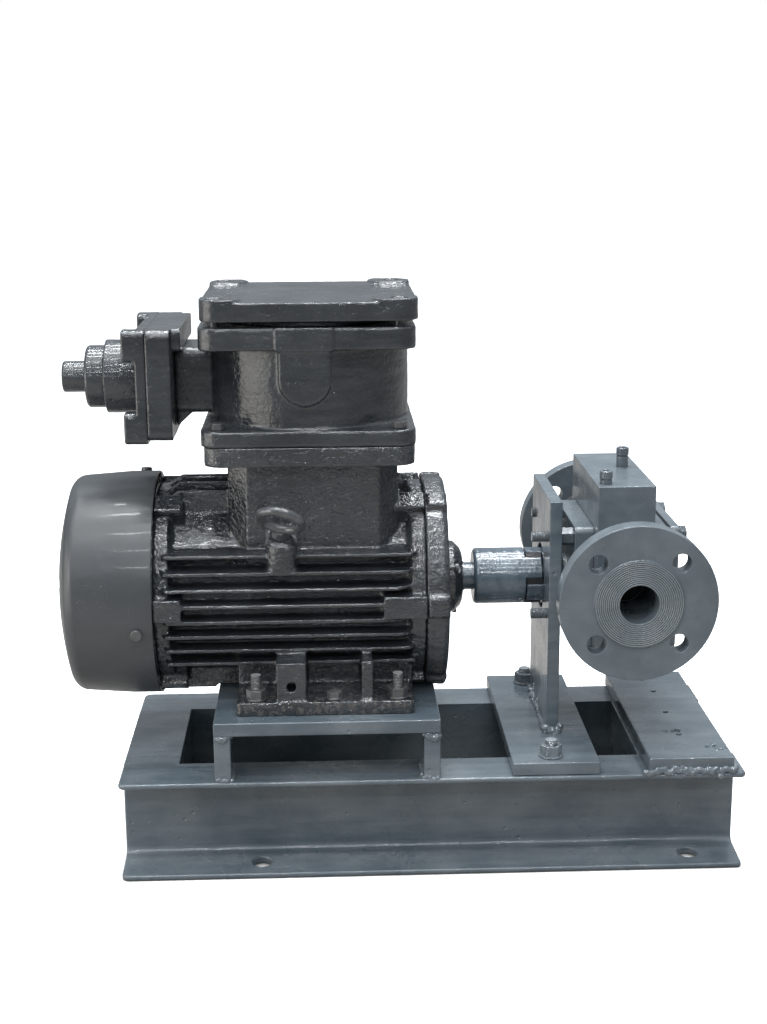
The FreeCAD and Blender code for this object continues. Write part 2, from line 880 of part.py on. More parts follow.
head_height = 6.0
head_radius = 6.5
shield_bolts = []
for angle in lug_angles:
    at_y, at_z = on_circle(shield_bolt_circle, angle)
    shank = rod(frame_right - shield_thread_depth + 1, bolt_seat, shield_bolt_radius, at_y, at_z)
    head = rod(bolt_seat, bolt_seat + shield_bolt_head, shield_bolt_head_radius, at_y, at_z)
    shield_bolts.append(joined([shank, head]))
    shank = rod(fan_shield_left, frame_left + shield_thread_depth - 1, shield_bolt_radius, at_y, at_z)
    head = rod(fan_shield_left - shield_bolt_head, fan_shield_left, shield_bolt_head_radius, at_y, at_z)
    shield_bolts.append(joined([shank, head]))
save("end_shield_bolts", shield_bolts + cap_screws)

# Ball bearings at both ends
ball_circle = (bearing_bore + bearing_outside) / 2
race = ball_radius + 0.1
inner_ring_outside = ball_circle - 3.2
outer_ring_inside = ball_circle + 3.2
outer_rings = []
inner_rings = []
ball_sets = []
for left in (fan_bearing_left, drive_bearing_left):
    right = left + bearing_width
    middle = (left + right) / 2
    groove = Part.makeTorus(ball_circle, race, Vector(middle, line_y, line_z), along_x)
    outer = rod(left, right, bearing_outside, line_y, line_z)
    outer = outer.cut(rod(left - 1, right + 1, outer_ring_inside, line_y, line_z))
    outer_rings.append(outer.cut(groove))
    inner = rod(left, right, inner_ring_outside, line_y, line_z)
    inner = inner.cut(rod(left - 1, right + 1, bearing_bore, line_y, line_z))
    inner_rings.append(inner.cut(groove))
    cage = rod(middle - 2, middle + 2, ball_circle + 1.5, line_y, line_z)
    cage = cage.cut(rod(middle - 3, middle + 3, ball_circle - 1.5, line_y, line_z))
    balls = [cage]
    for i in range(ball_count):
        at_y, at_z = on_circle(ball_circle, 360 / ball_count * i)
        balls.append(Part.makeSphere(ball_radius, Vector(middle, at_y, at_z)))
    ball_sets.append(joined(balls))
save("bearing_outer_rings", outer_rings)
save("bearing_inner_rings", inner_rings)
save("bearing_ball_sets", ball_sets)

# Rotor: shaft, squirrel cage core, shaft key and cooling fan
motor_shaft = turned(
    [
        (fan_shaft_end_x, 0),
        (fan_shaft_end_x, fan_seat_radius - 1),
        (fan_shaft_end_x + 1, fan_seat_radius),
        (fan_bearing_left - 5, fan_seat_radius),
        (fan_bearing_left - 5, bearing_bore),
        (fan_bearing_right, bearing_bore),
        (fan_bearing_right, rotor_shaft_radius),
        (drive_bearing_left, rotor_shaft_radius),
        (drive_bearing_left, bearing_bore),
        (shaft_step_x, bearing_bore),
        (shaft_step_x, shaft_end_radius),
        (shaft_end_x - 1.5, shaft_end_radius),
        (shaft_end_x, shaft_end_radius - 1.5),
        (shaft_end_x, 0),
    ]
)
key_width = 8.0
key_height = 7.0
key_depth = 4.0
motor_hub_right = motor_hub_left + motor_hub_length
key_left = motor_hub_left + 1
key_right = shaft_end_x - 5
key_bottom = line_z + shaft_end_radius - key_depth
motor_key = block(
    key_left, key_right, line_y - key_width / 2, line_y + key_width / 2, key_bottom, key_bottom + key_height
)
save("motor_shaft", motor_shaft.cut(motor_key))

rotor_core = turned(
    [
        (core_left - 8, core_radius - 14),
        (core_left - 8, core_radius - 2),
        (core_left, core_radius),
        (core_right, core_radius),
        (core_right + 8, core_radius - 2),
        (core_right + 8, core_radius - 14),
        (core_right, core_radius - 14),
        (core_right, rotor_shaft_radius),
        (core_left, rotor_shaft_radius),
        (core_left, core_radius - 14),
    ]
)
save("rotor_core", rotor_core)

fan_left = fan_shaft_end_x + 2
fan_right = fan_left + fan_blade_width + 3
fan_pieces = [
    turned(
        [
            (fan_left, fan_seat_radius),
            (fan_left, fan_hub_radius - 3),
            (fan_right - 8, fan_hub_radius),
            (fan_right - 3, fan_radius - fan_disc_drop),
            (fan_right, fan_radius - fan_disc_drop),
            (fan_right, fan_seat_radius),
        ]
    )
]
for i in range(fan_blade_count):
    half = fan_blade_thickness / 2
    blade = slab(
        [
            (fan_left + 6, line_y - fan_hub_radius + 4),
            (fan_left, line_y - fan_radius + 14),
            (fan_left + 8, line_y - fan_radius),
            (fan_right, line_y - fan_radius),
            (fan_right, line_y - fan_hub_radius + 4),
        ],
        line_z - half,
        line_z + half,
    )
    fan_pieces.append(turned_about_line(blade, 360 / fan_blade_count * i))
cooling_fan = joined(fan_pieces)
save("cooling_fan", cooling_fan)


# Fan cowl: pressed sheet with a domed end and air slots


def cowl_solid(inset):
    """Solid inside the cowl's outer or inner skin, turned about the drive line."""
    corner = cowl_corner_radius - inset
    corner_r = cowl_end_radius - cowl_corner_radius
    turn_mid = math.radians(60)
    turn_end = math.radians(30)

    def at(x, radius):
        return Vector(x, line_y, line_z + radius)

    rim = at(cowl_rim_x + inset, cowl_radius - inset)
    rim_end = at(cowl_rim_x - cowl_rim_length, cowl_radius - inset)
    start = at(cowl_straight_end_x, corner_r + corner)
    middle = at(
        cowl_straight_end_x - corner * math.cos(turn_mid), corner_r + corner * math.sin(turn_mid)
    )
    shoulder = at(
        cowl_straight_end_x - corner * math.cos(turn_end), corner_r + corner * math.sin(turn_end)
    )
    tip = at(cowl_tip_x + inset, 0)
    dome_middle = at((shoulder.x + 3 * tip.x) / 4 - 0.4, corner_r * 0.53)
    edges = [
        Part.LineSegment(rim, rim_end).toShape(),
        Part.LineSegment(rim_end, start).toShape(),
        Part.Arc(start, middle, shoulder).toShape(),
        Part.Arc(shoulder, dome_middle, tip).toShape(),
        Part.LineSegment(tip, at(cowl_rim_x + inset, 0)).toShape(),
        Part.LineSegment(at(cowl_rim_x + inset, 0), rim).toShape(),
    ]
    face = Part.Face(Part.Wire(edges))
    return face.revolve(Vector(0, line_y, line_z), along_x, 360)


cowl = cowl_solid(0).cut(cowl_solid(cowl_sheet))
cowl = cowl.cut(rod(cowl_rim_x - 4, cowl_rim_x + 4, cowl_inner, line_y, line_z))
cowl_cuts = []
slot_half = cowl_slot_width / 2
slot_front = line_y - cowl_slot_outer + slot_half
slot_back = line_y - cowl_slot_inner - slot_half
slot_left = cowl_tip_x - 1
slot_right = cowl_straight_end_x
slot = joined(
    [
        rod(slot_left, slot_right, slot_half, slot_front, line_z),
        rod(slot_left, slot_right, slot_half, slot_back, line_z),
        block(slot_left, slot_right, slot_front, slot_back, line_z - slot_half, line_z + slot_half),
    ]
)
for i in range(cowl_slot_count):
    cowl_cuts.append(turned_about_line(slot, 360 / cowl_slot_count * (i + 0.5)))
for angle in screw_angles:
    hole = spool(line_y - cowl_radius - 1, line_y - cowl_inner + 4, cowl_screw_radius + 0.2, cowl_screw_x, line_z)
    cowl_cuts.append(turned_about_line(hole, angle))
save("fan_cowl", cowl.cut(cowl_cuts))

cowl_screws = []
cowl_screw_reach = 12.0
for angle in screw_angles:
    screw_end = line_y - cowl_inner + cowl_screw_reach
    shank = spool(line_y - cowl_radius, screw_end, cowl_screw_radius, cowl_screw_x, line_z)
    head = spool(
        line_y - cowl_radius - cowl_screw_head_height,
        line_y - cowl_radius,
        cowl_screw_head_radius,
        cowl_screw_x,
        line_z,
    )
    cowl_screws.append(turned_about_line(joined([shank, head]), angle))
save("cowl_screws", cowl_screws)

# Foot studs with nuts and washers
washer_thickness = 2.0
foot_nut_height = 9.0
foot_stud_reach = 25.0
foot_stud_top = foot_top + foot_stud_reach
foot_nut_across = 17.0
washer_radius = 10.0
nut_bottom = foot_top + washer_thickness
foot_bolts = []
foot_nuts = []
for x, y in foot_bolts_at:
    bolt = post(plate_bottom, foot_stud_top, foot_bolt_radius, x, y)
    head = hexagon_upright(foot_nut_across, plate_bottom - 6.5, plate_bottom, x, y)
    foot_bolts.append(joined([bolt, head]))
    washer = post(foot_top, nut_bottom, washer_radius, x, y)
    nut = hexagon_upright(foot_nut_across, nut_bottom, nut_bottom + foot_nut_height, x, y)
    nut = joined([washer, nut]).cut(post(foot_top - 1, foot_stud_top, foot_bolt_radius, x, y))
    foot_nuts.append(nut)
save("foot_bolts", foot_bolts)
save("foot_nuts", foot_nuts)

# Lifting eye bolt, leaning out of its boss
ring_centre = eye_seat + eye_direction * eye_ring_rise
eye_ring = Part.makeTorus(eye_ring_radius, eye_wire_radius, ring_centre, eye_direction.cross(along_x))
eye_ring.rotate(eye_seat, eye_direction, -eye_turn)
eye_collar_height = eye_ring_rise - eye_ring_radius
eye_collar = Part.makeCone(eye_collar_radius, eye_shank_radius, eye_collar_height, eye_seat, eye_direction)
eye_shank = Part.makeCylinder(
    eye_shank_radius, eye_thread_depth, eye_thread_start + eye_direction, eye_direction
)
save("lifting_eye_bolt", joined([eye_ring, eye_collar, eye_shank]))

# Earthing screw standing in the front foot
earth_thread = post(foot_top - earth_depth + 1, foot_top, earth_radius, earth_x, earth_y)
earth_washer = post(foot_top, foot_top + 1.5, 8, earth_x, earth_y)
earth_head = hexagon_upright(13, foot_top + 1.5, foot_top + 7, earth_x, earth_y)
save("earthing_screw", joined([earth_thread, earth_washer, earth_head]))

# Terminal box: round drum between two square flanges, with a lid
body_flange_top = drum_z + body_flange_thickness
box_top = top_flange_z + top_flange_thickness
box_front = line_y - box_half
boss_right = front_boss_left + front_boss_width
boss_round = front_boss_width / 2
boss_x = front_boss_left + boss_round
boss_bottom = top_flange_z - front_boss_drop + boss_round
body_pieces = [
    rounded_slab(
        box_x - box_half,
        box_x + box_half,
        box_front,
        line_y + box_half,
        drum_z,
        body_flange_top,
        box_corner_radius,
    ),
    post(drum_z, box_top, drum_radius, box_x, line_y),
    rounded_slab(
        box_x - box_half,
        box_x + box_half,
        box_front,
        line_y + box_half,
        top_flange_z,
        box_top,
        box_corner_radius,
    ),
    block(front_boss_left, boss_right, box_front, line_y, boss_bottom, top_flange_z + 2),
    spool(box_front, line_y, boss_round, boss_x, boss_bottom),
    block(front_boss_left - 2, boss_right + 2, box_front - 2, line_y, top_flange_z, box_top),
]
entry_neck = block(
    entry_box_right,
    box_x - drum_radius / 2,
    line_y - entry_neck_half_width,
    line_y + entry_neck_half_width,
    entry_z - entry_neck_half_height,
    entry_z + entry_neck_half_height,
)
body_pieces.append(rounded(entry_neck, 8, along_x))
gusset_right = entry_box_right + entry_gusset_length
gusset_low = entry_z - entry_neck_half_height
body_pieces.append(
    bar_along_y(
        [
            (entry_box_right, gusset_low - 14),
            (gusset_right, gusset_low + 4),
            (gusset_right, entry_z + entry_neck_half_height - 4),
            (entry_box_right, entry_z + entry_neck_half_height - 4),
        ],
        line_y - entry_neck_half_width + 4,
        line_y + entry_neck_half_width - 4,
    )
)
box_hollow_bottom = drum_z + 8
body_cuts = [
    post(box_hollow_bottom, box_top + 1, drum_bore, box_x, line_y),
    block(
        box_x - cable_passage_half_length,
        box_x + cable_passage_half_length,
        line_y + cable_passage_front,
        line_y + cable_passage_rear,
        drum_z - 1,
        box_hollow_bottom + 1,
    ),
    rod(entry_box_right - 1, box_x, entry_bore_radius, line_y, entry_z),
]
for x, y in box_bolts_at:
    body_cuts.append(post(drum_z - 1, body_flange_top + 1, box_bolt_radius + bolt_gap, x, y))
    body_cuts.append(post(box_top - box_thread_depth, box_top + 1, box_bolt_radius, x, y))
terminal_box = joined(body_pieces).cut(body_cuts)

# Cable entry box, cover and gland on the left side
entry_box_left = entry_box_right - entry_box_thickness
entry_cover_left = entry_box_left - entry_cover_thickness
entry_front = line_y - entry_half_width
entry_rear = line_y + entry_half_width
entry_bottom = entry_z - entry_half_height
entry_top = entry_z + entry_half_height
entry_box = rounded(
    block(entry_box_left, entry_box_right, entry_front, entry_rear, entry_bottom + 3, entry_top),
    9,
    along_x,
)
entry_bolts_at = []
for sign_y in (-1, 1):
    for sign_z in (-1, 1):
        at_y = line_y + sign_y * (entry_half_width - entry_lug_width / 2)
        at_z = entry_z + sign_z * (entry_half_height - entry_lug_height / 2)
        entry_bolts_at.append((at_y, at_z))
entry_pieces = [entry_box]
entry_cuts = [rod(entry_box_left - 1, entry_box_right + 1, entry_bore_radius, line_y, entry_z)]
cover_lugs = []
cover_cuts = []
entry_bolts = []
lug_left = entry_cover_left - entry_lug_length
entry_thread_end = entry_box_right - 3
for at_y, at_z in entry_bolts_at:
    entry_cuts.append(rod(entry_box_left - 1, entry_thread_end, entry_bolt_radius, at_y, at_z))
    lug = block(
        lug_left,
        entry_cover_left + 1,
        at_y - entry_lug_width / 2,
        at_y + entry_lug_width / 2,
        at_z - entry_lug_height / 2,
        at_z + entry_lug_height / 2,
    )
    cover_lugs.append(rounded(lug, 6, along_x))
    cover_cuts.append(rod(lug_left - 1, entry_box_left + 1, entry_bolt_radius + bolt_gap, at_y, at_z))
    cover_cuts.append(rod(lug_left - 1, entry_cover_left, head_radius + 1.5, at_y, at_z))
    shank = rod(entry_cover_left, entry_thread_end - 1, entry_bolt_radius, at_y, at_z)
    head = rod(entry_cover_left - 8, entry_cover_left, head_radius, at_y, at_z)
    entry_bolts.append(joined([shank, head]))
shoulder_bottom = entry_z + entry_neck_half_height + 0.5
entry_shoulder = block(
    entry_box_right - 1, entry_shoulder_right, entry_front + 12, entry_rear - 12, shoulder_bottom, entry_top
)
entry_pieces.append(rounded(entry_shoulder, 5, along_x))
save("cable_entry_box", joined(entry_pieces).cut(entry_cuts))
drum_left = entry_cover_left - entry_drum_length
entry_cover = joined(
    [
        rounded(
            block(entry_cover_left, entry_box_left, entry_front, entry_rear, entry_bottom, entry_top),
            6,
            along_x,
        ),
        rod(drum_left, entry_box_left, entry_drum_radius, line_y, entry_z),
    ]
    + cover_lugs
)
cover_cuts.append(rod(drum_left - 1, entry_box_left + 1, entry_bore_radius, line_y, entry_z))
save("cable_entry_cover", entry_cover.cut(cover_cuts))
gland_left = drum_left - gland_length
tube_left = gland_left - tube_length
save(
    "cable_gland",
    turned(
        [
            (tube_left, tube_bore_radius),
            (tube_left, tube_radius - 1),
            (tube_left + 1, tube_radius),
            (gland_left, tube_radius),
            (gland_left, gland_radius - 2),
            (gland_left + 2, gland_radius),
            (drum_left, gland_radius),
            (drum_left, tube_bore_radius),
        ],
        entry_z,
    ),
)

save("terminal_box_body", terminal_box)

lid_top = lid_z + lid_thickness
lid_pieces = [
    rounded_slab(
        box_x - box_half + 2,
        box_x + box_half + 2,
        box_front,
        line_y + box_half,
        lid_z,
        lid_top,
        box_corner_radius,
    ),
    post(box_top, lid_z + 1, drum_radius - 3, box_x, line_y),
    post(box_top - 10, lid_z, drum_bore - running_gap, box_x, line_y),
]
lid_outline = rounded_slab(
    box_x - box_half + 2,
    box_x + box_half + 2,
    box_front,
    line_y + box_half,
    lid_z,
    lid_top + lid_pad_height,
    box_corner_radius,
)
pads = []
lid_cuts = []
lid_screws = []
head_seat = lid_top + lid_pad_height - 8
for x, y in box_bolts_at:
    pads.append(post(lid_z, lid_top + lid_pad_height, lid_pad_radius, x, y).common(lid_outline))
    lid_cuts.append(post(box_top - 1, lid_top + 5, box_bolt_radius + bolt_gap, x, y))
    lid_cuts.append(post(head_seat, lid_top + 5, head_radius + 1.5, x, y))
    shank = post(box_top - box_thread_depth + 1, head_seat, box_bolt_radius, x, y)
    head = post(head_seat, head_seat + 7, head_radius, x, y)
    lid_screws.append(joined([shank, head]))
terminal_lid = joined(lid_pieces + pads)
inner_room = post(box_top - 11, lid_z + 4, drum_bore - 12, box_x, line_y)
save("terminal_box_lid", terminal_lid.cut(lid_cuts + [inner_room]))
save("box_cap_screws", lid_screws + entry_bolts)

box_bolts = []
for x, y in box_bolts_at:
    shank = post(drum_z - box_thread_depth + 1, body_flange_top, box_bolt_radius, x, y)
    head = hexagon_upright(13, body_flange_top, body_flange_top + head_height, x, y)
    box_bolts.append(joined([shank, head]))
save("terminal_box_bolts", box_bolts)

# Terminal block with brass studs inside the drum
terminal_pitch = 22.0
terminal_half_length = 38.0
terminal_half_width = 18.0
terminal_bottom = box_hollow_bottom
terminal_height = 16.0
terminal_top = terminal_bottom + terminal_height
terminal_y = line_y + cable_passage_rear + terminal_half_width + 4
terminal_holes = []
terminal_studs = []
for i in (-1, 0, 1):
    for j in (-1, 1):
        x = box_x + i * terminal_pitch
        y = terminal_y + j * terminal_pitch / 2
        terminal_holes.append(post(terminal_top - 8, terminal_top + 1, 2.5, x, y))
        stud = post(terminal_top - 8, terminal_top + terminal_height, 2.5, x, y)
        nut = hexagon_upright(8, terminal_top, terminal_top + 4, x, y)
        terminal_studs.append(joined([stud, nut]))
terminal_block = block(
    box_x - terminal_half_length,
    box_x + terminal_half_length,
    terminal_y - terminal_half_width,
    terminal_y + terminal_half_width,
    terminal_bottom,
    terminal_top,
)
save("terminal_block", terminal_block.cut(terminal_holes))
save("terminal_studs", terminal_studs)

# Jaw coupling: two hubs with three jaws each and a rubber spider between them
jaw_left = motor_hub_right
jaw_right = jaw_left + jaw_length
pump_hub_left = jaw_right + jaw_gap
pump_hub_right = pump_hub_left + pump_hub_length
jaw_ring = rod(jaw_left, pump_hub_left, coupling_radius, line_y, line_z)
jaw_ring = jaw_ring.cut(rod(jaw_left - 1, pump_hub_left + 1, jaw_inner_radius, line_y, line_z))
arm_half = spider_arm_thickness / 2
arm = block(
    jaw_left + jaw_gap,
    jaw_right,
    line_y - coupling_radius + 1,
    line_y - jaw_inner_radius + 3,
    line_z - arm_half,
    line_z + arm_half,
)
arm_slot = block(
    jaw_left - 1,
    pump_hub_left + 1,
    line_y - coupling_radius - 1,
    line_y,
    line_z - arm_half,
    line_z + arm_half,
)
arm_step = 360 / spider_arms
arms = []
slots = []
for i in range(spider_arms):
    arms.append(turned_about_line(arm, spider_turn + arm_step * i))
    slots.append(turned_about_line(arm_slot, spider_turn + arm_step * i))
motor_jaws = []
pump_jaws = []
for jaw in jaw_ring.cut(slots).Solids:
    centre = jaw.CenterOfMass
    angle = math.degrees(math.atan2(centre.z - line_z, line_y - centre.y)) - spider_turn
    number = int((angle % 360) // arm_step)
    if number % 2 == 0:
        motor_jaws.append(jaw.common(rod(jaw_left, jaw_right, coupling_radius, line_y, line_z)))
    else:
        right_part = rod(jaw_left + jaw_gap, pump_hub_left, coupling_radius, line_y, line_z)
        pump_jaws.append(jaw.common(right_part))
motor_hub_body = turned(
    [
        (motor_hub_left, shaft_end_radius),
        (motor_hub_left, coupling_radius - 2.5),
        (motor_hub_left + 2.5, coupling_radius),
        (motor_hub_right, coupling_radius),
        (motor_hub_right, shaft_end_radius),
    ]
)
motor_hub = joined([motor_hub_body] + motor_jaws).cut(motor_key)
save("motor_coupling_hub", motor_hub)
spider_ring = rod(jaw_left + jaw_gap, jaw_right, jaw_inner_radius, line_y, line_z)
spider_ring = spider_ring.cut(rod(jaw_left, jaw_right + 1, journal_radius - 2, line_y, line_z))
save("coupling_spider", joined([spider_ring] + arms))

pump_key_width = 5.0
pump_key_depth = 3.0
pump_key_bottom = line_z + journal_radius - pump_key_depth
pump_key = block(
    pump_hub_left + 1,
    pump_hub_right - 2,
    line_y - pump_key_width / 2,
    line_y + pump_key_width / 2,
    pump_key_bottom,
    pump_key_bottom + pump_key_width,
)
pump_hub_body = turned(
    [
        (pump_hub_left, journal_radius),
        (pump_hub_left, coupling_radius),
        (pump_hub_right - 2.5, coupling_radius),
        (pump_hub_right, coupling_radius - 2.5),
        (pump_hub_right, journal_radius),
    ]
)
save("pump_coupling_hub", joined([pump_hub_body] + pump_jaws).cut(pump_key))
save("coupling_keys", [motor_key, pump_key])

# Pump bracket: a foot plate bolted to the channels and an upright plate welded to it
bracket_base_top = channel_height + bracket_base_thickness
bracket_base = block(
    bracket_base_left,
    bracket_base_left + bracket_base_length,
    -bracket_bolt_spacing / 2 - bracket_front_edge,
    bracket_bolt_spacing / 2 + bracket_rear_edge,
    channel_height,
    bracket_base_top,
)
bracket_bolt_hole = bracket_bolt_radius + bolt_gap
bracket_bolt_reach = 15.0
bracket_nut_across = 19.0
bracket_nut_height = 10.0
bracket_washer_radius = 12.0
bracket_holes = []
bracket_bolts = []
bracket_nuts = []
for y in (-bracket_bolt_spacing / 2, bracket_bolt_spacing / 2):
    bracket_holes.append(
        post(channel_height - 1, bracket_base_top + 1, bracket_bolt_hole, bracket_bolt_x, y)
    )
    nut_z = bracket_base_top + washer_thickness
    bolt_top = nut_z + bracket_bolt_reach
    bolt_bottom = channel_height - flange_tip_thickness
    bracket_bolts.append(post(bolt_bottom, bolt_top, bracket_bolt_radius, bracket_bolt_x, y))
    washer = post(bracket_base_top, nut_z, bracket_washer_radius, bracket_bolt_x, y)
    nut = hexagon_upright(bracket_nut_across, nut_z, nut_z + bracket_nut_height, bracket_bolt_x, y)
    bore = post(bracket_base_top - 1, bolt_top, bracket_bolt_radius, bracket_bolt_x, y)
    bracket_nuts.append(joined([washer, nut]).cut(bore))
save("bracket_base_plate", bracket_base.cut(bracket_holes))
save("bracket_bolts", bracket_bolts)
save("bracket_nuts", bracket_nuts)

tie_y = [line_y - tie_bolt_spacing_y / 2, line_y + tie_bolt_spacing_y / 2]
tie_z = [port_z - tie_bolt_spacing_z / 2, port_z + tie_bolt_spacing_z / 2]
tie_bolts_at = [(y, z) for y in tie_y for z in tie_z]
bracket_plate = block(
    bracket_plate_left,
    bracket_plate_right,
    line_y - bracket_plate_width / 2,
    line_y + bracket_plate_width / 2,
    bracket_base_top,
    bracket_plate_top,
)
plate_cuts = [
    rod(bracket_plate_left - 1, bracket_plate_right + 1, bracket_hole_radius, line_y, line_z)
]
for y, z in tie_bolts_at:
    plate_cuts.append(rod(bracket_plate_left - 1, bracket_plate_right + 1, tie_bolt_radius, y, z))
save("bracket_plate", bracket_plate.cut(plate_cuts))


# Gear pump


def gear(z, turn):
    """Straight-toothed gear section across the width of the casing."""
    base_radius = pitch_radius * math.cos(math.radians(gear_pressure_angle))
    tip_radius = pitch_radius + gear_addendum
    root_radius = pitch_radius - gear_dedendum
    pitch_angle = math.radians(gear_pressure_angle)
    involute_at_pitch = math.tan(pitch_angle) - pitch_angle
    half_at_pitch = math.pi / (2 * gear_teeth) - gear_backlash / (4 * pitch_radius)
    left = casing_left + side_gap

    def at(radius, angle):
        return Vector(left, line_y + radius * math.cos(angle), z + radius * math.sin(angle))

    def half_angle(radius):
        pressure = math.acos(min(1.0, base_radius / radius))
        return half_at_pitch + involute_at_pitch - (math.tan(pressure) - pressure)

    flank_steps = 4
    radii = [base_radius + (tip_radius - base_radius) * i / flank_steps for i in range(flank_steps + 1)]
    edges = []
    tooth_step = 2 * math.pi / gear_teeth
    for i in range(gear_teeth):
        middle = turn + tooth_step * i
        rising = [at(radius, middle - half_angle(radius)) for radius in radii]
        falling = [at(radius, middle + half_angle(radius)) for radius in reversed(radii)]
        flank_angle = half_angle(base_radius)
        root_start = at(root_radius, middle - flank_angle)
        root_end = at(root_radius, middle + flank_angle)
        next_start = at(root_radius, middle + tooth_step - flank_angle)
        root_middle = at(root_radius, middle + tooth_step / 2)
        edges.append(Part.LineSegment(root_start, rising[0]).toShape())
        curve = Part.BSplineCurve()
        curve.interpolate(rising)
        edges.append(curve.toShape())
        edges.append(Part.Arc(rising[-1], at(tip_radius, middle), falling[0]).toShape())
        curve = Part.BSplineCurve()
        curve.interpolate(falling)
        edges.append(curve.toShape())
        edges.append(Part.LineSegment(falling[-1], root_end).toShape())
        edges.append(Part.Arc(root_end, root_middle, next_start).toShape())
    face = Part.Face(Part.Wire(Part.__sortEdges__(edges)))
    return face.extrude(Vector(casing_thickness - 2 * side_gap, 0, 0))


rear_cover_right = casing_right + rear_cover_thickness
gasket_right = rear_cover_right + gasket_thickness
end_cover_right = gasket_right + end_cover_thickness
bush_left = casing_left - front_bush_length
upright_tooth = math.pi / 2
half_tooth = math.pi / gear_teeth
drive_shaft = rod(pump_hub_left + 1, rear_cover_right - 1, journal_radius, line_y, line_z)
drive_gear = joined([gear(line_z, upright_tooth), drive_shaft]).cut(pump_key)
idler_shaft = rod(bush_left + 1, rear_cover_right - 1, journal_radius, line_y, idler_z)
idler_gear = joined([gear(idler_z, upright_tooth + half_tooth), idler_shaft])
save("drive_gear_shaft", drive_gear)
save("idler_gear_shaft", idler_gear)

casing = block(
    casing_left,
    casing_right,
    line_y - casing_half_width,
    line_y + casing_half_width,
    casing_bottom,
    casing_top,
)
chamber_radius = pitch_radius + gear_addendum + running_gap
relief_seat_z = line_z + relief_seat_rise
cross_z = line_z + cross_drill_rise
cross_start = Vector(return_x, return_y, cross_z)
cross_end = Vector(relief_x, relief_y, cross_z)
port_inner_gap = 8
casing_cuts = [
    rod(casing_left - 1, casing_right + 1, chamber_radius, line_y, line_z),
    rod(casing_left - 1, casing_right + 1, chamber_radius, line_y, idler_z),
    spool(line_y - casing_half_width - 1, line_y - port_inner_gap, port_entry_bore_radius, port_x, port_z),
    spool(line_y + port_inner_gap, line_y + casing_half_width + 1, port_entry_bore_radius, port_x, port_z),
    post(relief_seat_z, casing_top + 1, relief_bore_radius, relief_x, relief_y),
    post(port_z, relief_seat_z + 1, relief_drill_radius, relief_x, relief_y),
    post(port_z, casing_top - return_screw_depth, relief_drill_radius, return_x, return_y),
    post(casing_top - return_screw_depth, casing_top + 1, relief_bore_radius, return_x, return_y),
    Part.makeCylinder(
        cross_drill_radius, (cross_end - cross_start).Length, cross_start, cross_end - cross_start
    ),
]
tie_hole = tie_bolt_radius + bolt_gap
for y, z in tie_bolts_at:
    casing_cuts.append(rod(casing_left - 1, casing_right + 1, tie_hole, y, z))
save("pump_casing", casing.cut(casing_cuts))


def cover_plate(x0, x1, inset=0.0):
    plate = block(
        x0,
        x1,
        line_y - cover_half_width + inset,
        line_y + cover_half_width - inset,
        line_z + cover_rise - cover_half_height + inset,
        line_z + cover_rise + cover_half_height - inset,
    )
    holes = [rod(x0 - 1, x1 + 1, tie_hole, y, z) for y, z in tie_bolts_at]
    return rounded(plate, cover_corner_radius, along_x).cut(holes)


front_cover = cover_plate(front_cover_left, casing_left)
seal_right = front_cover_left + seal_length
front_cover = front_cover.cut(
    [
        rod(front_cover_left - 1, seal_right, seal_radius, line_y, line_z),
        rod(seal_right - 1, bush_left + 1, journal_radius + 0.5, line_y, line_z),
        rod(bush_left, casing_left + 1, bush_radius, line_y, line_z),
        rod(bush_left, casing_left + 1, bush_radius, line_y, idler_z),
    ]
)
rear_cover = cover_plate(casing_right, rear_cover_right)
rear_cover = rear_cover.cut(
    [
        rod(casing_right - 1, rear_cover_right + 1, bush_radius, line_y, line_z),
        rod(casing_right - 1, rear_cover_right + 1, bush_radius, line_y, idler_z),
    ]
)
save("front_cover", front_cover)
save("rear_cover", rear_cover)
save("end_cover_gasket", cover_plate(rear_cover_right, gasket_right, gasket_inset))
save("end_cover", cover_plate(gasket_right, end_cover_right))


def bush(x0, x1, z):
    outer = rod(x0, x1, bush_radius, line_y, z)
    return outer.cut(rod(x0 - 1, x1 + 1, journal_radius + running_gap, line_y, z))


bushes = []
for z in (line_z, idler_z):
    bushes.append(bush(bush_left, casing_left, z))
    bushes.append(bush(casing_right, rear_cover_right, z))
save("shaft_bushes", bushes)
shaft_seal = rod(front_cover_left, seal_right, seal_radius, line_y, line_z)
shaft_opening = rod(front_cover_left - 9, seal_right + 1, journal_radius + running_gap, line_y, line_z)
save("shaft_seal", shaft_seal.cut(shaft_opening))
retainer = rod(front_cover_left - retainer_thickness, front_cover_left, retainer_radius, line_y, line_z)
retainer_opening = rod(front_cover_left - 9, seal_right, journal_radius + 2, line_y, line_z)
save("seal_retainer", retainer.cut(retainer_opening))

tie_head_height = 6.4
tie_washer = 2.0
tie_bolts = []
tie_nuts = []
for y, z in tie_bolts_at:
    head_left = end_cover_right + tie_washer
    reach = tie_bolt_end_left if y < line_y else rear_tie_bolt_end_left
    shank = rod(bracket_plate_left - reach, head_left, tie_bolt_radius, y, z)
    washer = rod(end_cover_right, head_left, 9, y, z)
    head = hexagon_along_x(16, head_left, head_left + tie_head_height, y, z)
    tie_bolts.append(joined([shank, washer, head]))
    nut = hexagon_along_x(16, bracket_plate_right, front_cover_left, y, z)
    tie_nuts.append(nut.cut(rod(bracket_plate_right - 1, front_cover_left + 1, tie_bolt_radius, y, z)))
save("tie_bolts", tie_bolts)
save("tie_nuts", tie_nuts)


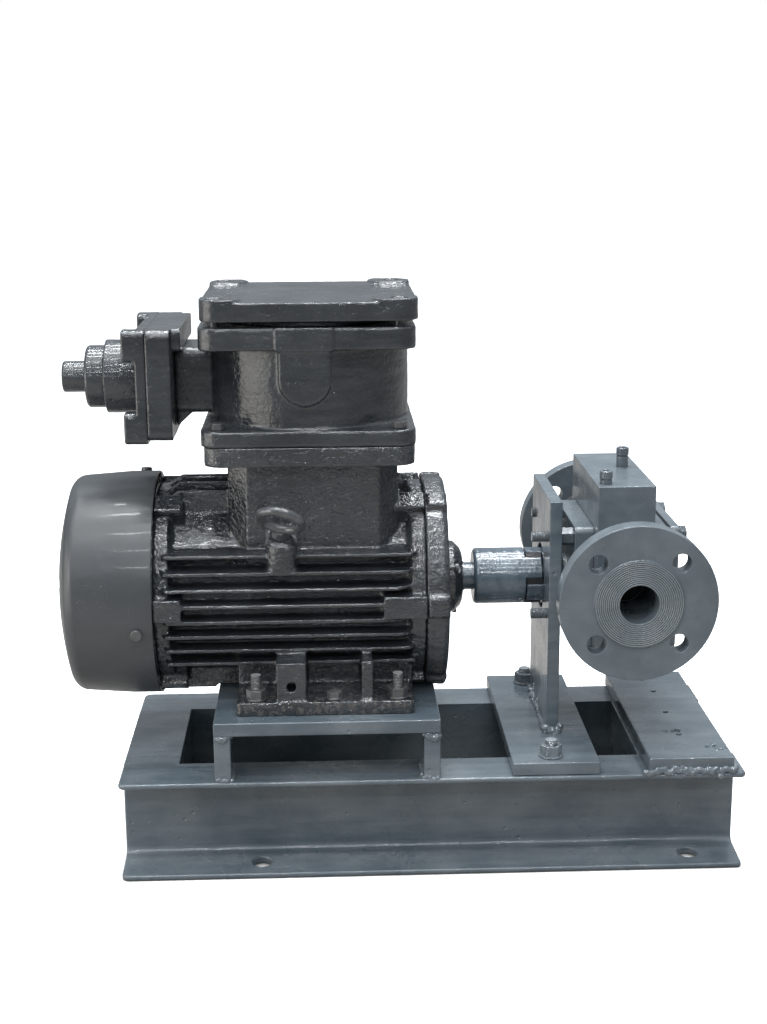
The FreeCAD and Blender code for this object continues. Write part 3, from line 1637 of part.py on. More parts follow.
def port(casing_y, face_y):
    """Pipe flange welded to its stub pipe; the stub meets the casing at casing_y."""
    out = 1 if face_y > casing_y else -1
    face_root = face_y - out * port_face_height
    back = face_root - out * port_flange_thickness
    pieces = [
        spool(min(back, face_root), max(back, face_root), port_flange_radius, port_x, port_z),
        spool(min(face_root, face_y), max(face_root, face_y), port_face_radius, port_x, port_z),
        spool(min(casing_y, back), max(casing_y, back), port_pipe_radius, port_x, port_z),
    ]
    cuts = [
        spool(min(casing_y, face_y) - 1, max(casing_y, face_y) + 1, port_bore_radius, port_x, port_z)
    ]
    for i in range(port_bolt_count):
        angle = math.radians(45 + 360 / port_bolt_count * i)
        x = port_x + port_bolt_circle / 2 * math.cos(angle)
        z = port_z + port_bolt_circle / 2 * math.sin(angle)
        cuts.append(spool(min(back, face_y) - 1, max(back, face_y) + 1, port_bolt_hole_radius, x, z))
    return joined(pieces).cut(cuts)


save("front_port_flange", port(line_y - casing_half_width, port_front_y))
save("rear_port_flange", port(line_y + casing_half_width, port_rear_y))

# Pressure relief valve in the top of the casing
poppet_radius = relief_bore_radius - running_gap
poppet_top = relief_seat_z + relief_poppet_length
cone_height = 3.0
cone_bottom = relief_seat_z - cone_height + 0.6
poppet = turned_upright(
    [
        (0, cone_bottom),
        (relief_drill_radius - 2, cone_bottom),
        (relief_drill_radius - 0.4, relief_seat_z),
        (relief_drill_radius + 0.6, relief_seat_z + 0.05),
        (poppet_radius, relief_seat_z + 1),
        (poppet_radius, poppet_top),
        (3, poppet_top),
        (3, poppet_top + 3),
        (0, poppet_top + 3),
    ],
    relief_x,
    relief_y,
)
save("relief_poppet", poppet)
screw_bottom = casing_top - relief_screw_depth
spring_bottom = poppet_top + 0.8
spring_top = screw_bottom - 0.8
spring_turns = 4
spring_wire = 0.8
spring_radius = 4.4
helix = Part.makeHelix((spring_top - spring_bottom) / spring_turns, spring_top - spring_bottom, spring_radius)
wire_circle = Part.Wire(Part.makeCircle(spring_wire, Vector(spring_radius, 0, 0), along_y))
spring = Part.Wire(helix).makePipeShell([wire_circle], True, True)
spring.translate(Vector(relief_x, relief_y, spring_bottom))
save("relief_spring", spring)


def casing_screw(depth, height, x, y):
    """Threaded plug that stands proud of the casing, with a turned-down waist and a socket."""
    bottom = casing_top - depth
    top = casing_top + height
    screw = turned_upright(
        [
            (0, bottom),
            (relief_bore_radius, bottom),
            (relief_bore_radius, top - 9),
            (relief_bore_radius - 0.8, top - 9),
            (relief_bore_radius - 0.8, top - 8),
            (relief_bore_radius + 0.4, top - 8),
            (relief_bore_radius + 0.4, top - 0.8),
            (relief_bore_radius - 0.4, top),
            (0, top),
        ],
        x,
        y,
    )
    return screw.cut(hexagon_upright(6, top - 5, top + 1, x, y))


relief_screw = casing_screw(relief_screw_depth, relief_screw_height, relief_x, relief_y)
return_screw = casing_screw(return_screw_depth, return_screw_height, return_x, return_y)
save("relief_screws", [relief_screw, return_screw])
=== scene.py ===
import json
import math

import bmesh
import bpy
from mathutils import Matrix, Vector, noise

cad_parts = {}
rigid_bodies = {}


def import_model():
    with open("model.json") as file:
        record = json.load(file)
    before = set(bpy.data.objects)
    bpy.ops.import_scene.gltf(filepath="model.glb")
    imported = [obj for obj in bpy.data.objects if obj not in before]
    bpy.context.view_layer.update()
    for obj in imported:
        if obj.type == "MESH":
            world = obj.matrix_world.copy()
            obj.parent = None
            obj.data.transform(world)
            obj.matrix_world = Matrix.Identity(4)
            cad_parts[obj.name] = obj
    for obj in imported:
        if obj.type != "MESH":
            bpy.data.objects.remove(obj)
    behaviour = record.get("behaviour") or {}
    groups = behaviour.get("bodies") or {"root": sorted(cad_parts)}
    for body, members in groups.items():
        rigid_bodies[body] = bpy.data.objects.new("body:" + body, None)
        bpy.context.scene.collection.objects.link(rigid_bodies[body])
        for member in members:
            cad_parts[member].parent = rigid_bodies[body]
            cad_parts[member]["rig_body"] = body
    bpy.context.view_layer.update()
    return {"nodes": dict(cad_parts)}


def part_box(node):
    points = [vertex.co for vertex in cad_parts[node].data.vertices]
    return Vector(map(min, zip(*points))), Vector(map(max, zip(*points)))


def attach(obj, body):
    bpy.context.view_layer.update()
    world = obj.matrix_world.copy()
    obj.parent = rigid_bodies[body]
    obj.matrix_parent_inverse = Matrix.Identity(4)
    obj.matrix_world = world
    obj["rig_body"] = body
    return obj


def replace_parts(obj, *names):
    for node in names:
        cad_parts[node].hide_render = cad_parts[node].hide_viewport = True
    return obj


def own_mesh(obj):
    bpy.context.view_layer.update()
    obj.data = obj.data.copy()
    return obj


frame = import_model()
nodes = frame["nodes"]
scene = bpy.context.scene

# Camera: a little above the set and slightly left of its middle, looking down at it,
# with the long lens that a product photograph of a machine this size has.
camera_place = (-0.099645, -1.535353, 0.711191)
pan, tilt_down, roll = -0.0373, 0.2412, -0.0058
camera = bpy.data.objects.new("camera", bpy.data.cameras.new("camera"))
camera.data.lens = 55.76
camera.data.clip_start = 0.05
camera.matrix_world = (
    Matrix.Translation(camera_place)
    @ Matrix.Rotation(pan, 4, "Z")
    @ Matrix.Rotation(math.pi / 2 - tilt_down, 4, "X")
    @ Matrix.Rotation(roll, 4, "Z")
)
scene.collection.objects.link(camera)
scene.camera = camera

# Studio: rows of lamp tubes that draw thin highlights along wet-looking edges, a window and an
# open doorway on the left, weak light from the right and the rear, a weak soft sun, and air
# that is brighter overhead.
scene.view_settings.view_transform = "Standard"


def softbox(name, place, aim, size, power, tint=(1.0, 1.0, 1.0)):
    """A rectangular light that looks at a point."""
    light = bpy.data.lights.new(name, "AREA")
    light.shape = "RECTANGLE"
    light.size, light.size_y = size
    light.energy = power
    light.color = tint
    lamp = bpy.data.objects.new(name, light)
    lamp.location = place
    lamp.rotation_euler = (Vector(aim) - Vector(place)).to_track_quat("-Z", "Y").to_euler()
    lamp.visible_camera = False
    scene.collection.objects.link(lamp)


middle_of_set = (0.0, 0.0, 0.3)
cool_white = (0.95, 0.98, 1.0)
tube_length, thin_tube, wide_tube = 1.5, 0.012, 0.045
for number, (y, z, thickness, power) in enumerate(
    (
        (-1.75, 1.25, thin_tube, 5.5),
        (-1.25, 1.6, thin_tube, 5.5),
        (-0.75, 1.9, thin_tube, 7),
        (-0.1, 2.3, wide_tube, 20),
        (0.4, 2.3, wide_tube, 21),
        (0.9, 2.1, wide_tube, 21),
    )
):
    softbox(f"tube_{number}", (0.0, y, z), middle_of_set, (tube_length, thickness), power, cool_white)
softbox("window_left", (-1.9, -1.1, 1.0), (-0.1, 0.0, 0.35), (0.35, 1.1), 6, (0.93, 0.97, 1.0))
softbox("doorway_left", (-1.3, -0.45, 0.4), (-0.15, 0.0, 0.4), (1.2, 0.78), 6.5, (1.0, 0.95, 0.88))
softbox("right_side", (1.8, -0.2, 1.2), (0.1, 0.0, 0.3), (0.5, 0.9), 1)
softbox("rear_wall", (0.0, 2.6, 0.9), middle_of_set, (4.0, 1.4), 1.5, (0.92, 0.97, 1.0))
sky_sun = bpy.data.objects.new("high_sun", bpy.data.lights.new("high_sun", "SUN"))
sky_sun.data.energy = 0.9
sky_sun.data.angle = math.radians(50)
sky_sun.rotation_euler = Vector((0.3, 0.2, -0.93)).to_track_quat("-Z", "Y").to_euler()
scene.collection.objects.link(sky_sun)

world = bpy.data.worlds.new("studio")
world.use_nodes = True
scene.world = world
new, link = world.node_tree.nodes.new, world.node_tree.links.new
room = world.node_tree.nodes["Background"]
room.inputs["Color"].default_value = (0.84, 0.92, 1.0, 1)
upward = new("ShaderNodeSeparateXYZ")
link(new("ShaderNodeTexCoord").outputs["Generated"], upward.inputs[0])
air = new("ShaderNodeMapRange")
for name, value in (("From Min", -0.05), ("From Max", 0.9), ("To Min", 0.1), ("To Max", 0.9)):
    air.inputs[name].default_value = value
link(upward.outputs["Z"], air.inputs["Value"])
link(air.outputs["Result"], room.inputs["Strength"])
backdrop = new("ShaderNodeBackground")
backdrop.inputs["Color"].default_value = (1, 1, 1, 1)
choose = new("ShaderNodeMixShader")
link(new("ShaderNodeLightPath").outputs["Is Camera Ray"], choose.inputs[0])
link(room.outputs[0], choose.inputs[1])
link(backdrop.outputs[0], choose.inputs[2])
link(choose.outputs[0], world.node_tree.nodes["World Output"].inputs["Surface"])

# Floor: one pale sheet out to the horizon. The camera sees it blown out to white, save under
# holes and along edges close to it, where an occlusion mask paints shade onto it, while the
# paint mirrors it as the darker floor of a workshop.
floor_shape = bmesh.new()
bmesh.ops.create_grid(floor_shape, x_segments=1, y_segments=1, size=20)
floor_mesh = bpy.data.meshes.new("floor")
floor_shape.to_mesh(floor_mesh)
floor_shape.free()
floor = bpy.data.objects.new("floor", floor_mesh)
floor_paint = bpy.data.materials.new("floor")
floor_paint.use_nodes = True
new, link = floor_paint.node_tree.nodes.new, floor_paint.node_tree.links.new
bright = floor_paint.node_tree.nodes["Principled BSDF"]
bright.inputs["Base Color"].default_value = (0.93, 0.93, 0.93, 1)
bright.inputs["Roughness"].default_value = 0.9
bright.inputs["Specular IOR Level"].default_value = 0.0
bright.inputs["Emission Color"].default_value = (1, 1, 1, 1)
bright.inputs["Emission Strength"].default_value = 0.55
workshop = new("ShaderNodeBsdfDiffuse")
workshop.inputs["Color"].default_value = (0.3, 0.285, 0.27, 1)
seen = new("ShaderNodeMixShader")
# Painted shade: close under parts, the camera sees the darker floor in place of the white one.
painted_contact_shade = new("ShaderNodeAmbientOcclusion")
painted_contact_shade.samples = 4
painted_contact_shade.inputs["Distance"].default_value = 0.03
clear = new("ShaderNodeMapRange")
clear.inputs["From Min"].default_value = 0.5
clear.inputs["From Max"].default_value = 0.62
link(painted_contact_shade.outputs["AO"], clear.inputs["Value"])
white_part = new("ShaderNodeMath")
white_part.operation = "MULTIPLY"
link(new("ShaderNodeLightPath").outputs["Is Camera Ray"], white_part.inputs[0])
link(clear.outputs["Result"], white_part.inputs[1])
link(white_part.outputs[0], seen.inputs[0])
link(workshop.outputs[0], seen.inputs[1])
link(bright.outputs[0], seen.inputs[2])
link(seen.outputs[0], floor_paint.node_tree.nodes["Material Output"].inputs["Surface"])
floor_mesh.materials.append(floor_paint)
scene.collection.objects.link(floor)


# Base channels: four lengths of hot-rolled steel channel, cut, welded into a rectangle and
# brushed with blue-grey semi-gloss enamel that shows its strokes, runs and trapped grit.
def brushed_coat():
    """Paint put on by hand: strokes, soft lumps and small pits, as colour, gloss and relief."""
    group = bpy.data.node_groups.new("brushed_coat", "ShaderNodeTree")
    for name, kind, value in (
        ("Thick Coat", "NodeSocketColor", (0.1, 0.1, 0.1, 1)),
        ("Thin Coat", "NodeSocketColor", (0.2, 0.2, 0.2, 1)),
        ("Stroke Scale", "NodeSocketVector", (30, 30, 200)),
        ("Lump Scale", "NodeSocketFloat", 120.0),
        ("Pit Scale", "NodeSocketFloat", 90.0),
        ("Glossy", "NodeSocketFloat", 0.25),
        ("Dull", "NodeSocketFloat", 0.5),
    ):
        group.interface.new_socket(name, in_out="INPUT", socket_type=kind).default_value = value
    group.interface.new_socket("Color", in_out="OUTPUT", socket_type="NodeSocketColor")
    group.interface.new_socket("Roughness", in_out="OUTPUT", socket_type="NodeSocketFloat")
    group.interface.new_socket("Height", in_out="OUTPUT", socket_type="NodeSocketFloat")
    new, link = group.nodes.new, group.links.new
    given, result, place = new("NodeGroupInput"), new("NodeGroupOutput"), new("ShaderNodeTexCoord")

    def cloud(scale, detail, where=None):
        field = new("ShaderNodeTexNoise")
        field.inputs["Scale"].default_value = scale
        field.inputs["Detail"].default_value = detail
        link(where or place.outputs["Object"], field.inputs["Vector"])
        return field

    def ramp(value, low, high, to_low=0.0, to_high=1.0):
        step = new("ShaderNodeMapRange")
        for name, number in (("From Min", low), ("From Max", high), ("To Min", to_low), ("To Max", to_high)):
            step.inputs[name].default_value = number
        link(value, step.inputs["Value"])
        return step

    def add(first, share, second):
        step = new("ShaderNodeMath")
        step.operation = "MULTIPLY_ADD"
        link(second, step.inputs[0])
        step.inputs[1].default_value = share
        link(first, step.inputs[2])
        return step.outputs[0]

    stretched = new("ShaderNodeVectorMath")
    stretched.operation = "MULTIPLY"
    link(place.outputs["Object"], stretched.inputs[0])
    link(given.outputs["Stroke Scale"], stretched.inputs[1])
    strokes = cloud(1.0, 4.0, stretched.outputs[0]).outputs["Fac"]
    lumps = cloud(1.0, 2.5)
    lumps.inputs["Distortion"].default_value = 0.5
    link(given.outputs["Lump Scale"], lumps.inputs["Scale"])
    grit = new("ShaderNodeTexVoronoi")
    link(place.outputs["Object"], grit.inputs["Vector"])
    link(given.outputs["Pit Scale"], grit.inputs["Scale"])
    pits = ramp(grit.outputs["Distance"], 0.06, 0.18, 1.0, 0.0).outputs["Result"]
    patches = cloud(16.0, 5.0).outputs["Fac"]
    dents = cloud(9.0, 1.0).outputs["Fac"]
    few = new("ShaderNodeMath")
    few.operation = "MULTIPLY"
    link(ramp(patches, 0.54, 0.6).outputs["Result"], few.inputs[0])
    link(pits, few.inputs[1])
    height = add(add(strokes, 0.8, lumps.outputs["Fac"]), 5.0, dents)
    link(add(height, -0.9, few.outputs[0]), result.inputs["Height"])
    thin = add(add(patches, 0.5, strokes), 0.3, few.outputs[0])
    # A mix node takes its two colours on inputs 6 and 7 and gives the mixed one on output 2.
    colour = new("ShaderNodeMix")
    colour.data_type = "RGBA"
    link(ramp(thin, 0.6, 0.92).outputs["Result"], colour.inputs["Factor"])
    link(given.outputs["Thick Coat"], colour.inputs[6])
    link(given.outputs["Thin Coat"], colour.inputs[7])
    link(colour.outputs[2], result.inputs["Color"])
    sheen = ramp(cloud(24.0, 3.0).outputs["Fac"], 0.38, 0.62)
    link(given.outputs["Glossy"], sheen.inputs["To Min"])
    link(given.outputs["Dull"], sheen.inputs["To Max"])
    link(sheen.outputs["Result"], result.inputs["Roughness"])
    return group


brushed = brushed_coat()


def coated(name, thick, thin, stroke, lump, pit, glossy, dull, relief, varnish=0.0, shine=0.5):
    """A painted metal: the brushed coat in its own colours, at its own scale."""
    paint = bpy.data.materials.new(name)
    paint.use_nodes = True
    new, link = paint.node_tree.nodes.new, paint.node_tree.links.new
    surface = paint.node_tree.nodes["Principled BSDF"]
    coat = new("ShaderNodeGroup")
    coat.node_tree = brushed
    for socket, value in (
        ("Thick Coat", (*thick, 1)),
        ("Thin Coat", (*thin, 1)),
        ("Stroke Scale", stroke),
        ("Lump Scale", lump),
        ("Pit Scale", pit),
        ("Glossy", glossy),
        ("Dull", dull),
    ):
        coat.inputs[socket].default_value = value
    bump = new("ShaderNodeBump")
    bump.inputs["Distance"].default_value = relief
    link(coat.outputs["Height"], bump.inputs["Height"])
    link(coat.outputs["Color"], surface.inputs["Base Color"])
    link(coat.outputs["Roughness"], surface.inputs["Roughness"])
    link(bump.outputs["Normal"], surface.inputs["Normal"])
    surface.inputs["Specular IOR Level"].default_value = shine
    surface.inputs["Coat Weight"].default_value = varnish
    surface.inputs["Coat Roughness"].default_value = 0.07
    return paint


def place_piece(name, shape, material, body):
    """Make the mesh an object that moves with its body."""
    mesh = bpy.data.meshes.new(name)
    shape.to_mesh(mesh)
    shape.free()
    mesh.materials.clear()
    mesh.materials.append(material)
    mesh.shade_smooth()
    mesh.set_sharp_from_angle(angle=math.radians(38))
    piece = bpy.data.objects.new(name, mesh)
    scene.collection.objects.link(piece)
    even = piece.modifiers.new("even", "WEIGHTED_NORMAL")
    even.keep_sharp = True
    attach(piece, body)
    return piece


same_point = 0.00002
same_plane = 0.0002


def dressed(node, edge, material, segments=2, angle=28.0, joints=()):
    """A copy of a solid whose sharp edges are rounded, save those in the y planes of joints."""
    shape = bmesh.new()
    shape.from_mesh(nodes[node].data)
    bmesh.ops.remove_doubles(shape, verts=shape.verts, dist=same_point)
    bmesh.ops.dissolve_limit(shape, angle_limit=math.radians(1.0), verts=shape.verts, edges=shape.edges)
    sharp = []
    for line in shape.edges:
        butted = any(all(abs(corner.co.y - y) < same_plane for corner in line.verts) for y in joints)
        if len(line.link_faces) == 2 and line.calc_face_angle() > math.radians(angle) and not butted:
            sharp.append(line)
    bmesh.ops.bevel(
        shape,
        geom=sharp,
        offset=edge,
        offset_type="OFFSET",
        affect="EDGES",
        segments=segments,
        profile=0.5,
        material=-1,
        clamp_overlap=False,
    )
    piece = place_piece(node + "_dressed", shape, material, nodes[node]["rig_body"])
    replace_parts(piece, node)
    return piece


frame_paint = coated(
    "frame_paint",
    thick=(0.07, 0.093, 0.112),
    thin=(0.128, 0.152, 0.17),
    stroke=(14, 90, 90),
    lump=70,
    pit=85,
    glossy=0.22,
    dull=0.46,
    relief=0.001,
    varnish=0.7,
)
inner_sides = (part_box("left_end_channel")[0].y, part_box("left_end_channel")[1].y)
for node in ("front_channel", "rear_channel"):
    dressed(node, 0.0023, frame_paint, segments=3, joints=inner_sides)
for node in ("left_end_channel", "right_end_channel"):
    dressed(node, 0.0012, frame_paint, joints=inner_sides)


# Right cover plate: flat steel plate laid over the right end of the channels, held by a fat
# weld along its front edge. The beads stray by noise, which is random unless it is seeded.
noise.seed_set(1)


def weld(name, start, end, width, rough=0.2, seed=0.0, tall=0.0):
    """A bead of weld metal: drops along a line, each a little off it, run into one another."""
    start, end = Vector(start), Vector(end)
    spacing = 0.14 * width
    count = max(8, round((end - start).length / spacing))
    shape = bmesh.new()
    for i in range(count + 1):
        at = start.lerp(end, i / count)
        stray = noise.noise_vector(Vector((0.55 * i + seed, seed, 0.5)))
        swell = noise.noise(Vector((seed, 0.8 * i, 1.5)))
        size = width * (0.36 + 0.35 * rough * swell)
        drop = bmesh.ops.create_icosphere(shape, subdivisions=2, radius=size)
        rise = Vector((0, 0, tall * stray.y))
        aside = stray * width * 1.6 * rough
        bmesh.ops.translate(shape, verts=drop["verts"], vec=at + rise + aside)
    piece = place_piece(name, shape, weld_paint, "pump_set")
    fuse_skin(piece, width * 0.08, 2)


def as_seen(piece):
    """The mesh of a piece with its modifiers worked in."""
    seen_now = bpy.context.evaluated_depsgraph_get()
    return bpy.data.meshes.new_from_object(piece.evaluated_get(seen_now))


def fuse_skin(piece, voxel, softness, uneven=0.0, triangles=0):
    """Run the faces of a piece into one closed skin with soft corners, and a little uneven."""
    piece.modifiers.clear()
    skin = piece.modifiers.new("skin", "REMESH")
    skin.mode = "VOXEL"
    skin.voxel_size = voxel
    skin.use_smooth_shade = True
    soft = piece.modifiers.new("soft", "SMOOTH")
    soft.iterations = softness
    if uneven:
        sand = bpy.data.textures.new(piece.name + "_sand", "CLOUDS")
        sand.noise_scale = 0.014
        sand.noise_depth = 2
        lumps = piece.modifiers.new("lumps", "DISPLACE")
        lumps.texture = sand
        lumps.texture_coords = "LOCAL"
        lumps.strength = uneven
        lumps.mid_level = 0.62
    baked = as_seen(piece)
    if triangles:
        count = 2 * len(baked.polygons)
        if count > triangles:
            lighter = piece.modifiers.new("lighter", "DECIMATE")
            lighter.ratio = triangles / count
            baked = as_seen(piece)
    piece.modifiers.clear()
    piece.data = baked
    return piece


weld_paint = coated(
    "weld_paint",
    thick=(0.085, 0.105, 0.122),
    thin=(0.13, 0.155, 0.172),
    stroke=(190, 190, 190),
    lump=330,
    pit=260,
    glossy=0.05,
    dull=0.16,
    relief=0.0018,
    varnish=0.3,
    shine=0.9,
)
dressed("right_end_plate", 0.0014, frame_paint)
low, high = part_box("right_end_plate")
bead_y, bead_z = low.y - 0.001, 0.102
weld(
    "end_plate_weld",
    (low.x - 0.004, bead_y, bead_z),
    (high.x + 0.001, bead_y, bead_z),
    width=0.0095,
    rough=0.12,
    tall=0.005,
)

# Splashes: paint that ran together round the holes and the corner of the cover plate, in
# small blobs that stand a little out of its top face.
low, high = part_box("right_end_plate")
splash_width, splash_rough, splash_sink, splash_lean = 0.0042, 0.45, 0.0006, 0.002
for number, (x, y, length) in enumerate(
    (
        (-0.062, 0.068, 0.01),
        (-0.046, 0.07, 0.008),
        (-0.022, 0.028, 0.009),
        (-0.012, 0.02, 0.008),
        (-0.05, 0.22, 0.006),
    )
):
    at = Vector((high.x + x, low.y + y, high.z - splash_sink))
    reach = Vector((length, splash_lean, 0))
    weld(f"splash_{number}", at, at + reach, splash_width, splash_rough, 3.0 * number)

# Motor plate and legs: a flat plate on four short square legs, welded to the plate above and
# to the channels below with short fat beads.
dressed("motor_plate", 0.0014, frame_paint)
dressed("motor_legs", 0.0014, frame_paint)
low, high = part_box("motor_legs")
front, back = low.y + 0.002, low.y + 0.033
top_z, foot_z = high.z - 0.001, low.z + 0.001
for side, outer, inner in (
    ("left", low.x + 0.003, low.x + 0.013),
    ("right", high.x - 0.003, high.x - 0.013),
):
    inward = 0.002 if inner > outer else -0.002
    beside = inner + 1.5 * inward
    weld(
        f"leg_{side}_top",
        (outer, front, high.z - 0.002),
        (inner, front, high.z - 0.003),
        width=0.0115,
        rough=0.14,
        seed=outer * 40,
        tall=0.007,
    )
    weld(f"leg_{side}_inside_top", (beside, front, top_z), (beside, back, top_z), 0.008, 0.2, outer * 50)
    weld(
        f"leg_{side}_foot",
        (outer, front - 0.001, foot_z),
        (inner, front - 0.001, foot_z),
        width=0.008,
        rough=0.16,
        seed=outer * 60,
        tall=0.002,
    )
    weld(f"leg_{side}_inside_foot", (beside, front, foot_z), (beside, back, foot_z), 0.007, 0.2, outer * 70)

# Stator: stacked sheet-steel core with two heads of varnished copper wire, pressed into the
# frame.


def grained(name, dark, light, scale, rough, metal=0.0, relief=0.0001, fine=(1, 1, 1)):
    """A bare material: a fine grain in its colour, gloss and relief, longer along one way."""
    stuff = bpy.data.materials.new(name)
    stuff.use_nodes = True
    new, link = stuff.node_tree.nodes.new, stuff.node_tree.links.new
    surface = stuff.node_tree.nodes["Principled BSDF"]
    stretch = new("ShaderNodeMapping")
    stretch.inputs["Scale"].default_value = fine
    link(new("ShaderNodeTexCoord").outputs["Object"], stretch.inputs["Vector"])
    grain = new("ShaderNodeTexNoise")
    grain.inputs["Scale"].default_value = scale
    grain.inputs["Detail"].default_value = 4.0
    link(stretch.outputs[0], grain.inputs["Vector"])
    colour = new("ShaderNodeMix")
    colour.data_type = "RGBA"
    colour.inputs[6].default_value = (*dark, 1)
    colour.inputs[7].default_value = (*light, 1)
    link(grain.outputs["Fac"], colour.inputs["Factor"])
    link(colour.outputs[2], surface.inputs["Base Color"])
    gloss = new("ShaderNodeMapRange")
    gloss.inputs["From Min"].default_value = 0.3
    gloss.inputs["From Max"].default_value = 0.7
    gloss.inputs["To Min"].default_value = rough * 0.7
    gloss.inputs["To Max"].default_value = rough * 1.35
    link(grain.outputs["Fac"], gloss.inputs["Value"])
    link(gloss.outputs["Result"], surface.inputs["Roughness"])
    bump = new("ShaderNodeBump")
    bump.inputs["Distance"].default_value = relief
    link(grain.outputs["Fac"], bump.inputs["Height"])
    link(bump.outputs["Normal"], surface.inputs["Normal"])
    surface.inputs["Metallic"].default_value = metal
    return stuff


def finish_nodes(material, *names):
    """Give CAD nodes whose shape is right their finish."""
    for name in names:
        nodes[name].data.materials.clear()
        nodes[name].data.materials.append(material)


core_steel = grained("core_steel", (0.1, 0.1, 0.11), (0.3, 0.3, 0.31), 40, 0.45, 1.0, 0.0003, (50, 1, 1))
finish_nodes(core_steel, "stator_core")
winding_copper = grained("winding_copper", (0.3, 0.1, 0.04), (0.6, 0.26, 0.1), 500, 0.35, 0.6, 0.0006)
finish_nodes(winding_copper, "stator_windings")

# Rotor: cast aluminium cage on a ground steel shaft, carried by two ball bearings, with a
# moulded plastic fan behind the rear shield.
ground_steel = grained(
    "ground_steel",
    dark=(0.4, 0.41, 0.42),
    light=(0.62, 0.62, 0.63),
    scale=60,
    rough=0.28,
    metal=1.0,
    fine=(30, 1, 1),
)
bearing_steel = grained("bearing_steel", (0.6, 0.61, 0.62), (0.8, 0.8, 0.81), 300, 0.14, 1.0, 0.00002)
cast_aluminium = grained("cast_aluminium", (0.45, 0.45, 0.46), (0.7, 0.7, 0.71), 200, 0.4, 1.0, 0.0003)
finish_nodes(cast_aluminium, "rotor_core")
finish_nodes(ground_steel, "coupling_keys")
finish_nodes(bearing_steel, "bearing_outer_rings", "bearing_inner_rings", "bearing_ball_sets")
finish_nodes(grained("fan_plastic", (0.01, 0.01, 0.011), (0.02, 0.02, 0.021), 400, 0.5), "cooling_fan")

# Motor frame: one rough iron casting with fins, feet, lugs and a neck, under thick
# charcoal enamel that fills its corners and shines on every ridge. The foot is chipped.
motor_enamel = coated(
    "motor_enamel",
    thick=(0.013, 0.0155, 0.0185),
    thin=(0.029, 0.0335, 0.039),
    stroke=(60, 60, 140),
    lump=260,
    pit=190,
    glossy=0.07,
    dull=0.22,
    relief=0.002,
    varnish=0.3,
    shine=0.9,
)
casting_enamel = motor_enamel.copy()
casting_enamel.name = "casting_enamel"
new, link = casting_enamel.node_tree.nodes.new, casting_enamel.node_tree.links.new
surface = casting_enamel.node_tree.nodes["Principled BSDF"]
place = new("ShaderNodeTexCoord")
height_on_foot = new("ShaderNodeSeparateXYZ")
link(place.outputs["Object"], height_on_foot.inputs[0])
low_down = new("ShaderNodeMapRange")
for name, value in (("From Min", 0.174), ("From Max", 0.178), ("To Min", 1.0), ("To Max", 0.0)):
    low_down.inputs[name].default_value = value
link(height_on_foot.outputs["Z"], low_down.inputs["Value"])
flakes = new("ShaderNodeTexNoise")
flakes.inputs["Scale"].default_value = 240.0
flakes.inputs["Detail"].default_value = 6.0
link(place.outputs["Object"], flakes.inputs["Vector"])
chipped = new("ShaderNodeMapRange")
chipped.inputs["From Min"].default_value = 0.5
chipped.inputs["From Max"].default_value = 0.62
link(flakes.outputs["Fac"], chipped.inputs["Value"])
where = new("ShaderNodeMath")
where.operation = "MULTIPLY"
link(low_down.outputs["Result"], where.inputs[0])
link(chipped.outputs["Result"], where.inputs[1])
bare_iron = new("ShaderNodeMix")
bare_iron.data_type = "RGBA"
bare_iron.inputs[7].default_value = (0.08, 0.072, 0.067, 1)
link(where.outputs[0], bare_iron.inputs["Factor"])
link(surface.inputs["Base Color"].links[0].from_socket, bare_iron.inputs[6])
link(bare_iron.outputs[2], surface.inputs["Base Color"])


cast_passes, cast_uneven = 2, 0.0006


def cast(node, material, voxel, triangles):
    """A sand casting under thick enamel: soft corners, filled seams and an uneven skin."""
    shape = bmesh.new()
    shape.from_mesh(nodes[node].data)
    bmesh.ops.remove_doubles(shape, verts=shape.verts, dist=same_point)
    piece = place_piece(node + "_casting", shape, material, nodes[node]["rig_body"])
    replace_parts(fuse_skin(piece, voxel, cast_passes, cast_uneven, triangles), node)


cast("motor_frame", casting_enamel, 0.0015, 190000)

# Foot fastenings: steel studs with nuts and washers, and the earthing screw in the front
# foot, all dark with the paint that ran over them.


def pattern(name, build, *sockets):
    """A shared relief: a group with a Height output, given its own inputs."""
    group = bpy.data.node_groups.new(name, "ShaderNodeTree")
    for socket, kind in sockets:
        group.interface.new_socket(socket, in_out="INPUT", socket_type=kind)
    group.interface.new_socket("Height", in_out="OUTPUT", socket_type="NodeSocketFloat")
    given, result = group.nodes.new("NodeGroupInput"), group.nodes.new("NodeGroupOutput")

    def math_step(operation, first, second=None):
        step = group.nodes.new("ShaderNodeMath")
        step.operation = operation
        for socket, value in zip(step.inputs, (first, second)):
            if isinstance(value, (int, float)):
                socket.default_value = value
            elif value is not None:
                group.links.new(value, socket)
        return step.outputs[0]

    def vector_step(operation, first, second):
        step = group.nodes.new("ShaderNodeVectorMath")
        step.operation = operation
        group.links.new(first, step.inputs[0])
        if isinstance(second, tuple):
            step.inputs[1].default_value = second
        else:
            group.links.new(second, step.inputs[1])
        return step.outputs["Value"] if operation in ("DOT_PRODUCT", "DISTANCE") else step.outputs[0]

    place = group.nodes.new("ShaderNodeTexCoord").outputs["Object"]
    group.links.new(build(given.outputs, place, math_step, vector_step), result.inputs["Height"])
    return group


def waves(value, pitch, low, high, math_step):
    """Even waves along a value, only in its stretch from low to high."""
    turns = math_step("SINE", math_step("MULTIPLY", math_step("DIVIDE", value, pitch), 2 * math.pi))
    inside = math_step("MULTIPLY", math_step("GREATER_THAN", value, low), math_step("LESS_THAN", value, high))
    return math_step("MULTIPLY", turns, inside)


def thread_relief(given, place, math_step, vector_step):
    """The crests of a screw thread along an axis."""
    along = vector_step("DOT_PRODUCT", place, given["Axis"])
    return waves(along, given["Pitch"], given["From"], given["To"], math_step)


